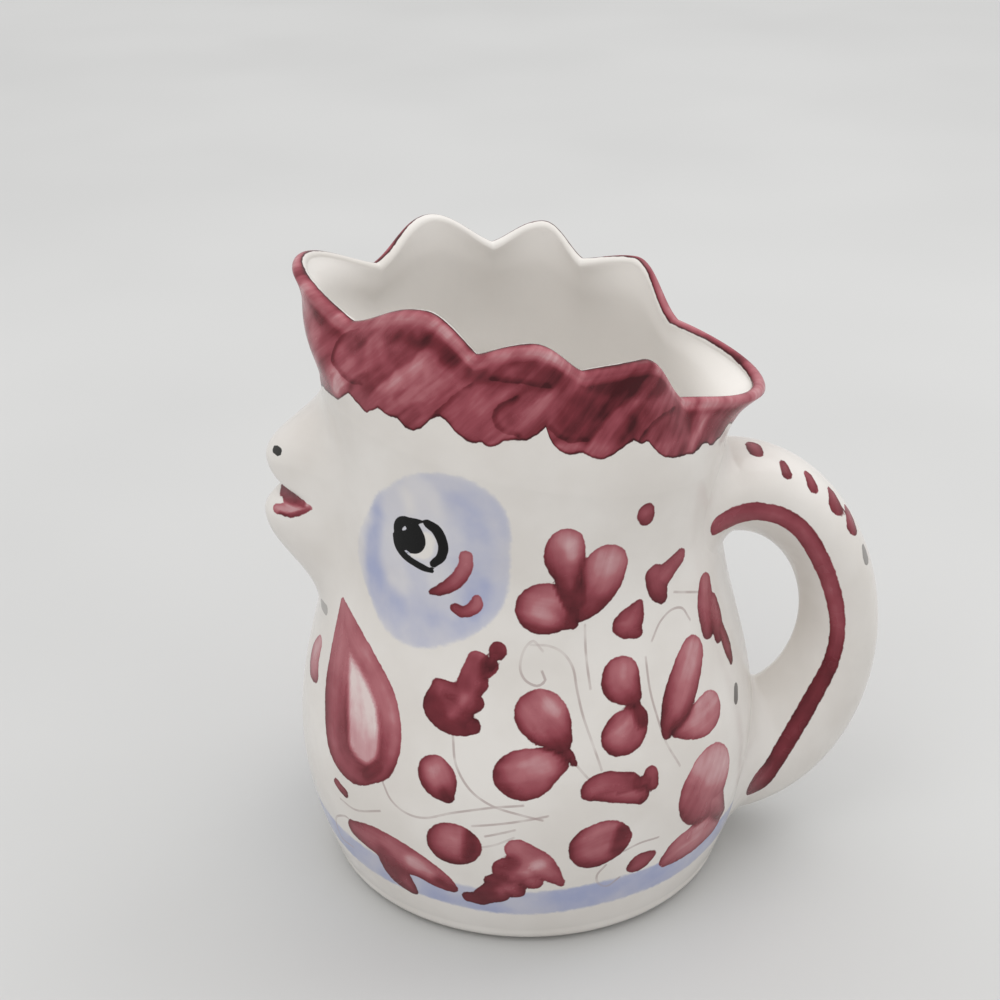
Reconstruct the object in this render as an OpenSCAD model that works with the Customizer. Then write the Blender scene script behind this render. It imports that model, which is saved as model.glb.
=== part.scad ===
// Glazed earthenware jug in the shape of a hen.
// The belly and neck are the bird's body, the fluted rim is its comb, the handle is its tail.
// Millimetres, +Z up, origin on the body's axis at the table, beak towards -X, handle towards +X.

/* [Base] */
// Radius of the flat underside
foot_r = 32.5; // [29:0.5:35]
// Radius where the rounded heel runs out into the belly
heel_r = 36.3; // [35.5:0.1:38]
// Height of the rounded heel
heel_z = 3.2; // [2:0.1:4.4]
// Thickness of the floor
floor_t = 5; // [4.5:0.1:8]

/* [Body] */
// Largest radius of the belly
belly_r = 40.9; // [38.5:0.1:44]
// Height of the belly's widest place
belly_z = 26; // [20:1:32]
// Radius of the neck at its waist
waist_r = 33.4; // [31:0.1:36]
// Height of the waist
waist_z = 70; // [64:1:75]
// Radius of the neck where it reaches the comb at the front
collar_r = 34.4; // [33:0.1:37]
// Thickness of the belly and neck wall
wall_t = 4.2; // [3:0.1:5.5]

/* [Comb] */
// Height of the comb's seam on the body's axis
seam_z = 86; // [84:0.5:89]
// Slope of the seam, down towards the handle, in degrees
seam_tilt = 11.3; // [8:0.1:13]
// Rise of the comb from its seam to its front tip
comb_front_rise = 19.1; // [15:0.1:26]
// Rise of the comb from its seam to its rear tip
comb_rear_rise = 11.3; // [8:0.1:15]
// Radius of the rim at the bird's sides
rim_r = 30; // [27:0.5:34]
// How far the front of the rim is pulled out
front_pull = 6.8; // [3:0.2:9]
// How far the rear of the rim is pulled out
rear_pull = 8.6; // [6:0.2:13]
// How far the comb's front swells out between seam and tip
front_swell = 1.6; // [0:0.1:4]
// Turn of the hand-cut lobes about the body's axis, in degrees
comb_twist = 2.5; // [-5:0.5:5]
// How far the rim's flutes go in and out
ruffle = 0.6; // [0:0.1:1.6]
// Thickness of the rim
rim_t = 3.4; // [2.6:0.1:4.2]

/* [Beak] */
// How far the upper beak stands out of the neck
upper_reach = 10.6; // [6:0.2:14]
// Height of the upper beak's tip
upper_tip_z = 77; // [75.5:0.5:79]
// Height of the upper beak from its tip to its root
upper_rise = 13.6; // [10:0.2:14.4]
// Half the upper beak's width round the neck
upper_half_w = 12; // [8:0.5:15]
// How far the lower beak stands out of the neck
lower_reach = 12; // [7:0.2:15]
// Height of the lower beak's tip
lower_tip_z = 67.2; // [65.5:0.2:68.5]
// Depth of the lower beak and throat below the tip
lower_fall = 18.6; // [14:0.2:24]
// Half the lower beak's width round the neck
lower_half_w = 11; // [8:0.5:15]
// Height of the mouth
mouth_z = 71.8; // [70.8:0.2:73]
// Gap between the two halves of the beak
mouth_gap = 1.6; // [0.8:0.1:2.2]

/* [Handle] */
// Distance of the handle's root line from the waist
handle_setoff = 2.6; // [1.5:0.1:4]
// How far the handle's spine stands out of its root line
handle_reach = 26.4; // [22:0.2:32]
// How far the handle's top lies below the comb's seam
handle_drop = 0.4; // [0.2:0.1:3]
// Height of the handle's lowest place
handle_foot_z = 4.6; // [3.4:0.2:8]
// How far the finger hole reaches out of the root line
hole_reach = 11.8; // [10:0.2:14]
// Height of the finger hole's top
hole_top_z = 62.2; // [58:0.2:65]
// Height of the finger hole's bottom
hole_foot_z = 30.6; // [27:0.2:36]
// Width of the handle at the grip
grip_w = 17; // [13:0.5:21]
// Width of the handle where it joins the neck
top_root_w = 22; // [17:0.5:26]
// Width of the handle where it joins the belly
foot_root_w = 20; // [17:0.5:26]

/* [Joints] */
// Thickness of the slip between the body and what is stuck to it
slip_t = 0.2; // [0.1:0.05:0.4]
// Thickness to which the beak's edges are feathered
feather_t = 0.3; // [0.2:0.05:0.6]

/* [Hidden] */

$fn = 96;
glaze_color = "ivory";
comb_color = "rosybrown";

// Steps along the curves
heel_steps = 6;
profile_steps = 26;
comb_turn_steps = 128;
comb_rise_steps = 8;
rim_round_steps = 5;
beak_side_steps = 12;
lip_steps = 6;
root_steps = 12;
handle_steps = 34;
handle_sides = 24;
root_ring_shares = [0.25, 0.5, 0.75];
bisection_steps = 24;

// Places that follow from the sizes above
seam_slope = tan(seam_tilt);
seam_front_z = seam_z + collar_r * seam_slope;
seam_rear_z = seam_z - waist_r * seam_slope;
wall_top_z = seam_front_z + wall_t;
comb_front_z = seam_front_z + comb_front_rise;
comb_rear_z = seam_rear_z + comb_rear_rise;
handle_root_x = waist_r + handle_setoff;
handle_top_z = seam_rear_z - handle_drop;
handle_mid_z = (handle_top_z + handle_foot_z) / 2;
handle_half_h = (handle_top_z - handle_foot_z) / 2;
hole_mid_z = (hole_top_z + hole_foot_z) / 2;
hole_half_h = (hole_top_z - hole_foot_z) / 2;
landing_angle_limit = 115;
cut_share = 4;

// Half the rim from the handle round to the beak: tips and valleys take turns
lobe_angles = [0, 35, 53, 71, 86, 104, 126, 150, 180];
lobe_height_shares = [0, 0.19, 0.62, 0.57, 0.84, 0.7, 0.95, 0.7, 1];
valley_round_share = 0.35;
pull_power = 6;
swell_power = 4;
flute_power = 4;

// Shape of the beak and of the handle's ends
mouth_inset_share = 0.72;
root_width_share = 0.35;
handle_flare_share = 0.22;

// Radius of the body's outside at a height
function heel_radius(z) = foot_r + (heel_r - foot_r) * sqrt(1 - pow(1 - max(z, 0) / heel_z, 2));
function lower_belly_radius(z) = belly_r - (belly_r - heel_r) * pow((belly_z - z) / (belly_z - heel_z), 2);
function upper_belly_radius(z) =
    waist_r + (belly_r - waist_r) * (1 + cos(180 * (z - belly_z) / (waist_z - belly_z))) / 2;
function neck_radius(z) =
    waist_r + (collar_r - waist_r) * pow((z - waist_z) / (seam_front_z - waist_z), 2);
function wall_radius(z) =
    z < heel_z ? heel_radius(z)
    : z < belly_z ? lower_belly_radius(z)
    : z < waist_z ? upper_belly_radius(z)
    : neck_radius(z);

// Triangles of the four-sided patch a, b, c, d
function patch(a, b, c, d) = [[a, b, c], [a, c, d]];

// Triangles between stacked rings of one count of points
function skin(rings, sides) = [
    for (j = [0 : rings - 2], i = [0 : sides - 1])
        each patch(j * sides + i, j * sides + (i + 1) % sides,
                   (j + 1) * sides + (i + 1) % sides, (j + 1) * sides + i)
];

// Floor slab: flat below, with a rounded heel, up to the inside of the floor
module base_disc() {
    heel = [for (i = [0 : heel_steps]) let (z = heel_z * (1 - cos(90 * i / heel_steps)))
            [heel_radius(z), z]];
    color(glaze_color)
        rotate_extrude()
            polygon(concat([[0, 0]], heel, [[wall_radius(floor_t), floor_t], [0, floor_t]]));
}

// Belly and neck: an open shell, cut off on the sloping seam of the comb
module body_wall() {
    heights = [for (i = [0 : profile_steps]) floor_t + (wall_top_z - floor_t) * i / profile_steps];
    outside = [for (z = heights) [wall_radius(z), z]];
    inside = [for (i = [profile_steps : -1 : 0]) [wall_radius(heights[i]) - wall_t, heights[i]]];
    cut_w = cut_share * belly_r;
    color(glaze_color)
        difference() {
            rotate_extrude() polygon(concat(outside, inside));
            translate([0, 0, seam_z])
                rotate([0, seam_tilt, 0])
                    translate([-cut_w / 2, -cut_w / 2, 0])
                        cube(cut_w);
        }
}

// From 0 in a valley of the rim to 1 on a tip: sharp in the valley, round on the tip
function scallop(u) = (1 - valley_round_share) * sin(90 * u) + valley_round_share * (1 - cos(180 * u)) / 2;

// Value between the tips and valleys of the rim at a turn from 0 to 180 degrees
function along_rim(values, turn) =
    let (i = max([for (k = [0 : len(lobe_angles) - 2]) lobe_angles[k] <= turn ? k : 0]),
         u = (turn - lobe_angles[i]) / (lobe_angles[i + 1] - lobe_angles[i]))
    i % 2 == 1 ? values[i] + (values[i + 1] - values[i]) * scallop(u)
    : values[i + 1] + (values[i] - values[i + 1]) * scallop(1 - u);

// Rim of the comb at a turn from the handle, and the seam below it
flute_shares = [for (i = [0 : len(lobe_angles) - 1]) i % 2 == 0 ? 1 : -1];
function half_turn(turn) = let (full = (turn + comb_twist + 360) % 360) full > 180 ? 360 - full : full;
function rim_height(turn) =
    comb_rear_z + (comb_front_z - comb_rear_z) * along_rim(lobe_height_shares, half_turn(turn));
function rim_radius(turn) =
    rim_r + (cos(turn) > 0 ? rear_pull : front_pull) * pow(abs(cos(turn)), pull_power);
function flute(turn) = ruffle * along_rim(flute_shares, half_turn(turn));
function seam_height(r, turn) = seam_z - r * cos(turn) * seam_slope;
function seam_radius(turn) = wall_radius(seam_height(wall_radius(seam_height(waist_r, turn)), turn));

// Outside radius of the comb at a share of the way from seam to rim
function comb_radius(turn, rise_share) =
    let (root = seam_radius(turn))
    root + (rim_radius(turn) - root) * pow(rise_share, 2) + flute(turn) * pow(rise_share, flute_power)
    + front_swell * pow(max(0, -cos(turn)), swell_power) * pow(sin(180 * rise_share), 2);

// Radius and height of the points round the comb's section at a turn
function comb_section(turn) =
    let (low = seam_height(seam_radius(turn), turn),
         inner_low = seam_height(seam_radius(turn) - wall_t, turn),
         round_r = rim_t / 2,
         high = rim_height(turn) - round_r,
         top_r = comb_radius(turn, 1) - round_r,
         rises = [for (i = [0 : comb_rise_steps]) i / comb_rise_steps])
    concat(
        [for (s = rises) [comb_radius(turn, s), low + (high - low) * s]],
        [for (i = [1 : rim_round_steps - 1]) let (a = 180 * i / rim_round_steps)
            [top_r + round_r * cos(a), high + round_r * sin(a)]],
        [for (i = [comb_rise_steps : -1 : 0]) let (s = rises[i])
            [comb_radius(turn, s) - wall_t - (rim_t - wall_t) * s, inner_low + (high - inner_low) * s]]);

// Fluted comb: a closed collar from the seam up to the scalloped rim
module comb_rim() {
    turns = [for (i = [0 : comb_turn_steps - 1]) 360 * i / comb_turn_steps];
    sections = [for (turn = turns) comb_section(turn)];
    loop = len(sections[0]);
    points = [for (i = [0 : comb_turn_steps - 1], p = sections[i])
              [p[0] * cos(turns[i]), p[0] * sin(turns[i]), p[1]]];
    faces = [for (i = [0 : comb_turn_steps - 1], k = [0 : loop - 1])
             let (next = (i + 1) % comb_turn_steps, up = (k + 1) % loop)
             each patch(i * loop + k, i * loop + up, next * loop + up, next * loop + k)];
    color(comb_color)
        polyhedron(points, faces);
}

// A lump on the front of the neck: each level has its height, its reach and its half width
module neck_lump(levels) {
    shares = [for (i = [-beak_side_steps : beak_side_steps]) i / beak_side_steps];
    across = len(shares);
    loop = 2 * across;
    function place(r, turn, z) = [-r * cos(turn), r * sin(turn), z];
    function back(z) = wall_radius(z) + slip_t;
    points = [for (level = levels, i = [0 : loop - 1])
              let (z = level[0],
                   share = i < across ? shares[i] : shares[loop - 1 - i],
                   turn = share * level[2] / waist_r * 180 / PI)
              i < across ? place(back(z) + feather_t + level[1] * pow(cos(90 * share), 2), turn, z)
              : place(back(z), turn, z)];
    top = (len(levels) - 1) * loop;
    bottom_cap = [for (i = [0 : across - 2]) each patch(i, loop - 1 - i, loop - 2 - i, i + 1)];
    top_cap = [for (i = [0 : across - 2])
               each patch(top + i, top + i + 1, top + loop - 2 - i, top + loop - 1 - i)];
    polyhedron(points, concat(skin(len(levels), loop), bottom_cap, top_cap));
}

// Level of a beak half between its mouth, at share 0, and its tip
function lip_level(lip_z, tip_z, reach, half_w, u) =
    [lip_z + (tip_z - lip_z) * u,
     reach * (mouth_inset_share + (1 - mouth_inset_share) * sin(90 * u)),
     half_w];

// Level of a beak half between its tip, at share 0, and its root, which lies rise above the tip
function root_level(tip_z, rise, reach, half_w, u) =
    [tip_z + rise * u,
     reach * (1 + cos(180 * u)) / 2,
     half_w * (1 - (1 - root_width_share) * pow(u, 2))];

lip_shares = [for (i = [0 : lip_steps - 1]) i / lip_steps];
root_shares = [for (i = [0 : root_steps]) i / root_steps];

// Upper half of the beak, from the mouth over the tip to its root under the comb
module upper_beak() {
    lip_z = mouth_z + mouth_gap / 2;
    color(glaze_color)
        neck_lump(concat(
            [for (u = lip_shares) lip_level(lip_z, upper_tip_z, upper_reach, upper_half_w, u)],
            [for (u = root_shares) root_level(upper_tip_z, upper_rise, upper_reach, upper_half_w, u)]));
}

// Lower half of the beak, from the throat over the tip up to the mouth
module lower_beak() {
    lip_z = mouth_z - mouth_gap / 2;
    color(glaze_color)
        neck_lump(concat(
            [for (i = [root_steps : -1 : 0])
                root_level(lower_tip_z, -lower_fall, lower_reach, lower_half_w, root_shares[i])],
            [for (i = [lip_steps - 1 : -1 : 0])
                lip_level(lip_z, lower_tip_z, lower_reach, lower_half_w, lip_shares[i])]));
}

// Spine and palm side of the handle in its middle plane, by angle from straight out
function spine(a) = [handle_root_x + handle_reach * cos(a), handle_mid_z + handle_half_h * sin(a)];
function palm(a) = [handle_root_x + hole_reach * cos(a), hole_mid_z + hole_half_h * sin(a)];

// Angle at which the spine or the palm side lands on the body, between two angles
function clear_of_body(p) = p[0] > wall_radius(p[1]);
function landing(on_spine, out, in, steps) =
    let (mid = (out + in) / 2)
    steps == 0 ? mid
    : clear_of_body(on_spine ? spine(mid) : palm(mid)) ? landing(on_spine, mid, in, steps - 1)
    : landing(on_spine, out, mid, steps - 1);

// Width of the handle at a share of its run, wider towards both roots
function handle_width(run_share) =
    grip_w + (top_root_w - grip_w) * pow(max(0, 1 - run_share / handle_flare_share), 2)
    + (foot_root_w - grip_w) * pow(max(0, 1 - (1 - run_share) / handle_flare_share), 2);

// Tail: a thick strap between its spine and its palm side, with ends that fit the body
module handle() {
    spine_top = landing(true, 0, landing_angle_limit, bisection_steps);
    spine_foot = landing(true, 0, -landing_angle_limit, bisection_steps);
    palm_top = landing(false, 0, landing_angle_limit, bisection_steps);
    palm_foot = landing(false, 0, -landing_angle_limit, bisection_steps);
    function ring(run_share, size_share) =
        let (outer = spine(spine_top + (spine_foot - spine_top) * run_share),
             inner = palm(palm_top + (palm_foot - palm_top) * run_share))
        [for (i = [0 : handle_sides - 1])
            let (a = 360 * i / handle_sides,
                 p = (outer + inner) / 2 + (outer - inner) / 2 * cos(a) * size_share,
                 y = handle_width(run_share) / 2 * sin(a) * size_share)
            [p[0], y, p[1]]];
    function seated(points) =
        [for (p = points) [sqrt(pow(wall_radius(p[2]), 2) - pow(p[1], 2)) + slip_t, p[1], p[2]]];
    rings = concat(
        [for (size_share = root_ring_shares) seated(ring(0, size_share))],
        [seated(ring(0, 1))],
        [for (i = [1 : handle_steps - 1]) ring(i / handle_steps, 1)],
        [seated(ring(1, 1))],
        [for (i = [len(root_ring_shares) - 1 : -1 : 0]) seated(ring(1, root_ring_shares[i]))]);
    last = (len(rings) - 1) * handle_sides;
    top_cap = [for (i = [1 : handle_sides - 2]) [0, i + 1, i]];
    foot_cap = [for (i = [1 : handle_sides - 2]) [last, last + i, last + i + 1]];
    color(glaze_color)
        polyhedron([for (r = rings) each r], concat(skin(len(rings), handle_sides), top_cap, foot_cap));
}

base_disc();
body_wall();
comb_rim();
upper_beak();
lower_beak();
handle();
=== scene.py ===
"""A glazed earthenware jug in the shape of a hen: its looks, built over the part's CAD frame."""

import bpy
import numpy as np
from mathutils import Matrix, Vector
from mathutils.bvhtree import BVHTree


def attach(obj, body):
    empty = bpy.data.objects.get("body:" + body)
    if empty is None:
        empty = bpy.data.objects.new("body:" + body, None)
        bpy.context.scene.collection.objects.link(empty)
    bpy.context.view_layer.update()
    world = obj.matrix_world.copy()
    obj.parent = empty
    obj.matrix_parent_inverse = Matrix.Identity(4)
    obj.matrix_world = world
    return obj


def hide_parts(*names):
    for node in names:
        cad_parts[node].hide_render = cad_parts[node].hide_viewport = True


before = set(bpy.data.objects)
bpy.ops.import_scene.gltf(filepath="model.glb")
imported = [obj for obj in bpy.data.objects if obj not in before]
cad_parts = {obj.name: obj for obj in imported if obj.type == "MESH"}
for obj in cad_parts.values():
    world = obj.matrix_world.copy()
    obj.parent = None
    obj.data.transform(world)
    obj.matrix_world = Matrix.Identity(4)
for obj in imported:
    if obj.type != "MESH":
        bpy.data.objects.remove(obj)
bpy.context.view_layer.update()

# Sizes in millimetres, angles in degrees: +Z up, beak towards -X, handle towards +X
MM = 0.001
FOOT_R = 32.5
HEEL_R = 36.3
HEEL_Z = 3.2
FLOOR_T = 5.0
BELLY_R = 40.9
BELLY_Z = 26.0
WAIST_R = 33.4
WAIST_Z = 70.0
COLLAR_R = 34.4
WALL_T = 4.2

# Comb: the seam it stands on and the scalloped rim
SEAM_Z = 86.0
SEAM_TILT = 11.3
COMB_FRONT_RISE = 19.1
COMB_REAR_RISE = 11.3
RIM_R = 30.0
FRONT_PULL = 6.8
REAR_PULL = 8.6
FRONT_SWELL = 1.6
COMB_TWIST = 2.5
RUFFLE = 1.1
RIM_T = 3.4
LIP_FLARE = 0.9
LIP_POWER = 5
LIP_ROLL = 0.45
ROLL_START = 0.7
LOBE_ANGLES = np.array([0, 35, 53, 71, 86, 104, 126, 150, 180])
NEAR_LOBE_ANGLES = np.array([0, 35, 53, 71, 87, 104, 118, 149, 180])
LOBE_HEIGHTS = np.array([0, 0.19, 0.62, 0.57, 0.84, 0.7, 0.97, 0.7, 1])
NEAR_LOBE_HEIGHTS = np.array([0, 0.19, 0.62, 0.57, 0.84, 0.7, 1.02, 0.75, 1])
VALLEY_ROUND = 0.45
PULL_POWER = 6
SWELL_POWER = 4
FLUTE_POWER = 4

# Beak: two lumps on the neck with a mouth between them
UPPER_REACH = 11.2
UPPER_TIP_Z = 77.0
UPPER_RISE = 13.6
LOWER_REACH = 12.0
LOWER_TIP_Z = 67.2
LOWER_FALL = 18.6
MOUTH_Z = 71.8
MOUTH_INSET = 0.72
MOUTH_DEPTH = 0.3
MOUTH_ROUND = 0.9
MOUTH_HALF_W = 10.0
BEAK_HALF_W = 18.5
BEAK_POWER = 3.5
ROOT_WIDTH_SHARE = 0.8
BEAK_BED = 0.3
EDGE_BED = 0.012
LIP_BED = 0.25
LIP_ROWS = 3

# Handle: a strap between its spine and its palm side
HANDLE_ROOT_X = 36.0
HANDLE_REACH = 26.9
HANDLE_DROP = 1.2
HANDLE_FOOT_Z = 4.6
HOLE_REACH = 12.7
HOLE_TOP_Z = 62.2
HOLE_FOOT_Z = 29.4
GRIP_W = 17.0
TOP_ROOT_W = 22.0
FOOT_ROOT_W = 20.0
FLARE_SHARE = 0.22
LANDING_LIMIT = 115.0
SECTION_POWER = 0.9
PALM_POWER = 1.3
SIDE_FILLET = 7.0
SPINE_FILLET = 1.6
PALM_FILLET = 1.6
FILLET_PULL = 0.55
FILLET_END_SHARE = 0.8
HANDLE_BED = 0.03
ROOT_BED = 0.3
ROOT_RING_SHARES = (0.1, 0.4, 0.7, 0.9)

# Unevenness of hand work: how high each wave is, how many go round, where it starts and its lean with height
WOBBLE_WAVES = [(0.11, 2, 0.6, 0), (0.066, 3, 0, 1 / 9), (0.044, 5, 1.3, -1 / 6)]
WOBBLE_FADE_Z = 8.0

# Round corner between wall and floor inside, and the small disc at the middle of both floors
FLOOR_FILLET = 6.0
POLE_R = 0.4

# Fineness of the meshes: columns round the jug, and rows in each part of it from the foot to the floor
COLUMNS = 432
UNDERSIDE_ROWS = 6
HEEL_ROWS = 10
BASE_EDGE_ROWS = 4
BELLY_ROWS = 88
LOWER_BEAK_ROWS = 34
UPPER_BEAK_ROWS = 18
NECK_ROWS = 26
COMB_ROWS = 40
RIM_ROWS = 14
COMB_INSIDE_ROWS = 22
INSIDE_ROWS = 34
INSIDE_CROWDING = 1.5
FLOOR_ROWS = 7
FACE_Z = 58.0
RING_Z = 78.0
HANDLE_RUNS = 104
HANDLE_SIDES = 64
FILLET_RINGS = 20

# Searches: how often a span is halved, a small step up the wall, and shares of the handle's run that are
# clear of the body and inside it
HALVINGS = 40
SMALL_STEP = 0.05
RUN_STEP = 0.01
TOP_RUNS = (0.3, -0.2)
FOOT_RUNS = (0.7, 1.2)

# Camera of the photograph, which is square
PHOTO_PX = 1000
FOCAL_PX = 1830.0
SENSOR_MM = 36.0
CAMERA_POS = Vector((-4.62, -285.58, 207.99))
CAMERA_PITCH = 26.15
CAMERA_ROLL = -0.46

# Strength of the sky at the horizon and overhead
SKY_LOW = 0.52
SKY_HIGH = 1.22

# Lights by name, in metres and watts: place, size and power, all aimed at the jug's middle
LIGHTS = {"key": ((-0.3, -0.35, 0.85), 0.45, 1.05), "fill": ((0.45, 0.25, 0.85), 0.5, 1.45)}
LIGHT_AIM_M = (0, 0, 0.05)
FLOOR_HALF_M = 3.0

# Paint, in millimetres on the surface: depth far from any paint, and how far beyond a stroke it is measured
BARE = -9.0
REACH = 3.0

# Brush strokes: places between two marks, wet edge, overlaps, the tone's upper bend, pools at the low end,
# the grain's stretch, and the most that a slant widens a stroke
CURVE_STEPS = 5
EDGE_W = 1.0
OVERLAP = 0.12
TONE_KNEE = 0.6
TONE_SPAN = 0.3
POOL = 0.1
POOL_SPAN = 4.0
POOL_WAY = np.array([-0.5, 0, -0.87])
SQUEEZE = 0.1
GRAIN_DEPTH = -0.4
RUN_END_SHARE = 0.2
MAX_WIDENING = 1.9
MIN_SLANT = 0.01
SEED_STEP = 37.0

# Depths between which tints, the blue of the patch and of the band, and the white of the eye set in
TINT_DEPTHS = (-0.8, 1.2)
BLUE_DEPTHS = (-1.5, 1.0)
BAND_DEPTHS = (-1.5, 0.5)
WHITE_DEPTHS = (-0.3, 0.3)

# The comb's wash: its tone on the wall, on the roll of the rim, at its edges and on the crest
WASH_TONE = 0.64
# How much lighter the wash is on the roll of the rim: a thinner wash over the edge, and painted light from
# above
WASH_LIGHT = 0.22
WASH_EDGE_TONE = 0.25
WASH_EDGE_W = 0.5
LINE_TONE = 0.34
CREST_TONE = 0.7
CREST_W = 0.6
ROLL_W = 2.6
ROLL_LIGHT_SHARE = 0.4
# Below this share of the roll the wash's darkening tints, which are painted shade, set in
ROLL_SHADE_SHARE = 0.6
WASH_LEAN = 1.0
WASH_SQUEEZE = 0.3

# How far the wash wraps over the rim: angles round its section by turn, and waves on them
WRAP = [(0, 160), (40, 150), (62, 95), (120, 90), (165, 110), (185, 130), (215, 101), (310, 101), (340, 140)]
WRAP_WAVES = [(7.0, 13, 1, 0)]

# Dabs along the wash's lower edge where the photograph doesn't show it: their height and middle,
# each row's share, number in half a turn and start, and the turns that they fill
SCALLOP_H = 1.6
SCALLOP_MIDDLE = 0.6
SCALLOPS = [(1.0, 11, 8), (0.4, 29, 0)]
REAR_TURNS = np.arange(-38, 39, 1.5)
FRONT_TURNS = np.arange(163, 198, 1.5)

# Lines across the mouth: rows above its middle, half their turn and half their width
MOUTH_LINES = [(0, 9.0, 1.5), (-2, 4.0, 1.6)]

# How far a free hand moves the sprigs on the hidden side
FAR_TURN = 4.0
FAR_LIFT = 1.2

# Sizes worked out from those above
CREST_T = RIM_T - LIP_FLARE
SEAM_SLOPE = np.tan(np.radians(SEAM_TILT))
SEAM_FRONT_Z = SEAM_Z + COLLAR_R * SEAM_SLOPE
SEAM_REAR_Z = SEAM_Z - WAIST_R * SEAM_SLOPE
COMB_FRONT_Z = SEAM_FRONT_Z + COMB_FRONT_RISE
COMB_REAR_Z = SEAM_REAR_Z + COMB_REAR_RISE
HANDLE_TOP_Z = SEAM_REAR_Z - HANDLE_DROP

# Tone of each kind of stroke: its body, what its edge adds, what its last end adds,
# and how far it runs into paint that it meets
STYLES = {
    "petal": (0.33, 0.48, 0.28, 1.0),
    "leaf": (0.46, 0.36, 0.1, 1.0),
    "berry": (0.37, 0.5, 0.2, 1.0),
    "light": (0.26, 0.3, 0.15, 1.0),
    "blush": (0.06, 0.0, 0.0, 2.0),
    "wattle": (0.45, 0.18, 0.0, 1.3),
    "cheek": (0.38, 0.28, 0.1, 1.0),
    "stripe": (0.6, 0.4, -0.05, 1.0),
    "lip": (0.14, 0.16, 0.0, 1.0),
    "mouth": (0.52, 0.2, 0.0, 0.4),
}

# Brush strokes of the sprigs, on the side that the photograph shows:
# their kind, then x, y and half width at places along them, in its pixels;
# strokes that run together share a line
SPRIGS = [
    ("petal", [(566, 546, 19), (565, 557, 21), (568, 575, 15), (574, 600, 10)]),
    ("petal", [(606, 567, 21), (602, 580, 20), (592, 598, 16), (581, 613, 9)]),
    ("petal", [(538, 608, 21), (545, 609, 26), (556, 612, 20), (568, 620, 10)]),
    ("leaf", [(574, 612, 4), (573, 625, 5)]),
    ("leaf", [(646, 513, 9), (647, 517, 8)]),
    ("leaf", [(655, 576, 10), (658, 588, 10), (662, 597, 6)], [(662, 577, 9), (670, 568, 7), (680, 556, 5)]),
    ("leaf", [(622, 625, 10), (630, 622, 13), (639, 604, 4)], [(628, 628, 11), (637, 632, 7)]),
    ("leaf", [(705, 585, 7), (706, 604, 9), (708, 626, 7)], [(713, 604, 6), (717, 620, 7), (718, 634, 5)],
     [(721, 628, 4), (727, 645, 5), (731, 659, 3)]),
    ("petal", [(621, 676, 19), (622, 684, 20), (634, 697, 9)]),
    ("petal", [(621, 736, 19), (627, 731, 20), (638, 718, 10)]),
    ("leaf", [(637, 706, 4), (641, 714, 5), (642, 722, 3)]),
    ("petal", [(692, 654, 12), (686, 676, 15), (678, 702, 15), (670, 722, 9), (667, 735, 4)]),
    ("light", [(709, 711, 14), (703, 717, 15), (690, 726, 11), (675, 733, 4)]),
    ("petal", [(540, 714, 26), (546, 722, 25), (560, 740, 13)]),
    ("petal", [(516, 776, 22), (526, 775, 26), (545, 767, 18), (560, 764, 9)]),
    ("leaf", [(563, 748, 5), (570, 756, 5), (575, 764, 3)]),
    ("petal", [(593, 790, 11), (605, 785, 13), (628, 786, 14)],
     [(586, 795, 5), (636, 794, 10), (641, 799, 6)]),
    ("leaf", [(651, 773, 7), (653, 784, 6)], [(640, 782, 5), (650, 779, 6)]),
    ("light", [(710, 779, 20), (706, 789, 21)], [(714, 800, 10), (721, 813, 4)]),
    ("light", [(668, 858, 6), (680, 848, 10), (698, 835, 11), (713, 823, 9)]),
    ("berry", [(435, 772, 16), (438, 780, 17), (447, 796, 7)]),
    ("berry", [(449, 844, 19), (457, 845, 19), (472, 847, 8), (478, 847, 3)]),
    ("berry", [(595, 847, 20), (606, 842, 19), (620, 839, 10)]),
    ("leaf", [(632, 867, 4), (640, 862, 7), (652, 854, 3)]),
    ("leaf", [(355, 829, 6), (375, 841, 10), (398, 855, 12), (420, 867, 10), (440, 880, 8), (452, 888, 4)],
     [(390, 860, 9), (398, 874, 9), (410, 887, 5), (415, 892, 2)]),
    ("leaf", [(517, 850, 11), (533, 863, 15), (548, 872, 10), (562, 884, 3)],
     [(508, 870, 12), (524, 872, 14)], [(500, 867, 7), (504, 876, 9)], [(492, 881, 6), (500, 884, 10)],
     [(484, 896, 8), (496, 892, 11)], [(470, 897, 5), (482, 899, 6)], [(516, 891, 7), (508, 888, 9)],
     [(534, 883, 7), (526, 878, 9)]),
    ("leaf", [(477, 661, 11), (470, 682, 13), (464, 704, 14)], [(491, 667, 8), (485, 672, 8)],
     [(480, 685, 9), (474, 690, 9)], [(476, 703, 9), (468, 708, 9)], [(472, 726, 9), (466, 726, 10)],
     [(440, 688, 9), (436, 706, 13), (450, 716, 17), (464, 724, 12)], [(438, 684, 6), (454, 692, 9)]),
    ("leaf", [(498, 650, 9), (498, 652, 9)], [(495, 656, 4), (490, 664, 6)]),
]

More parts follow.
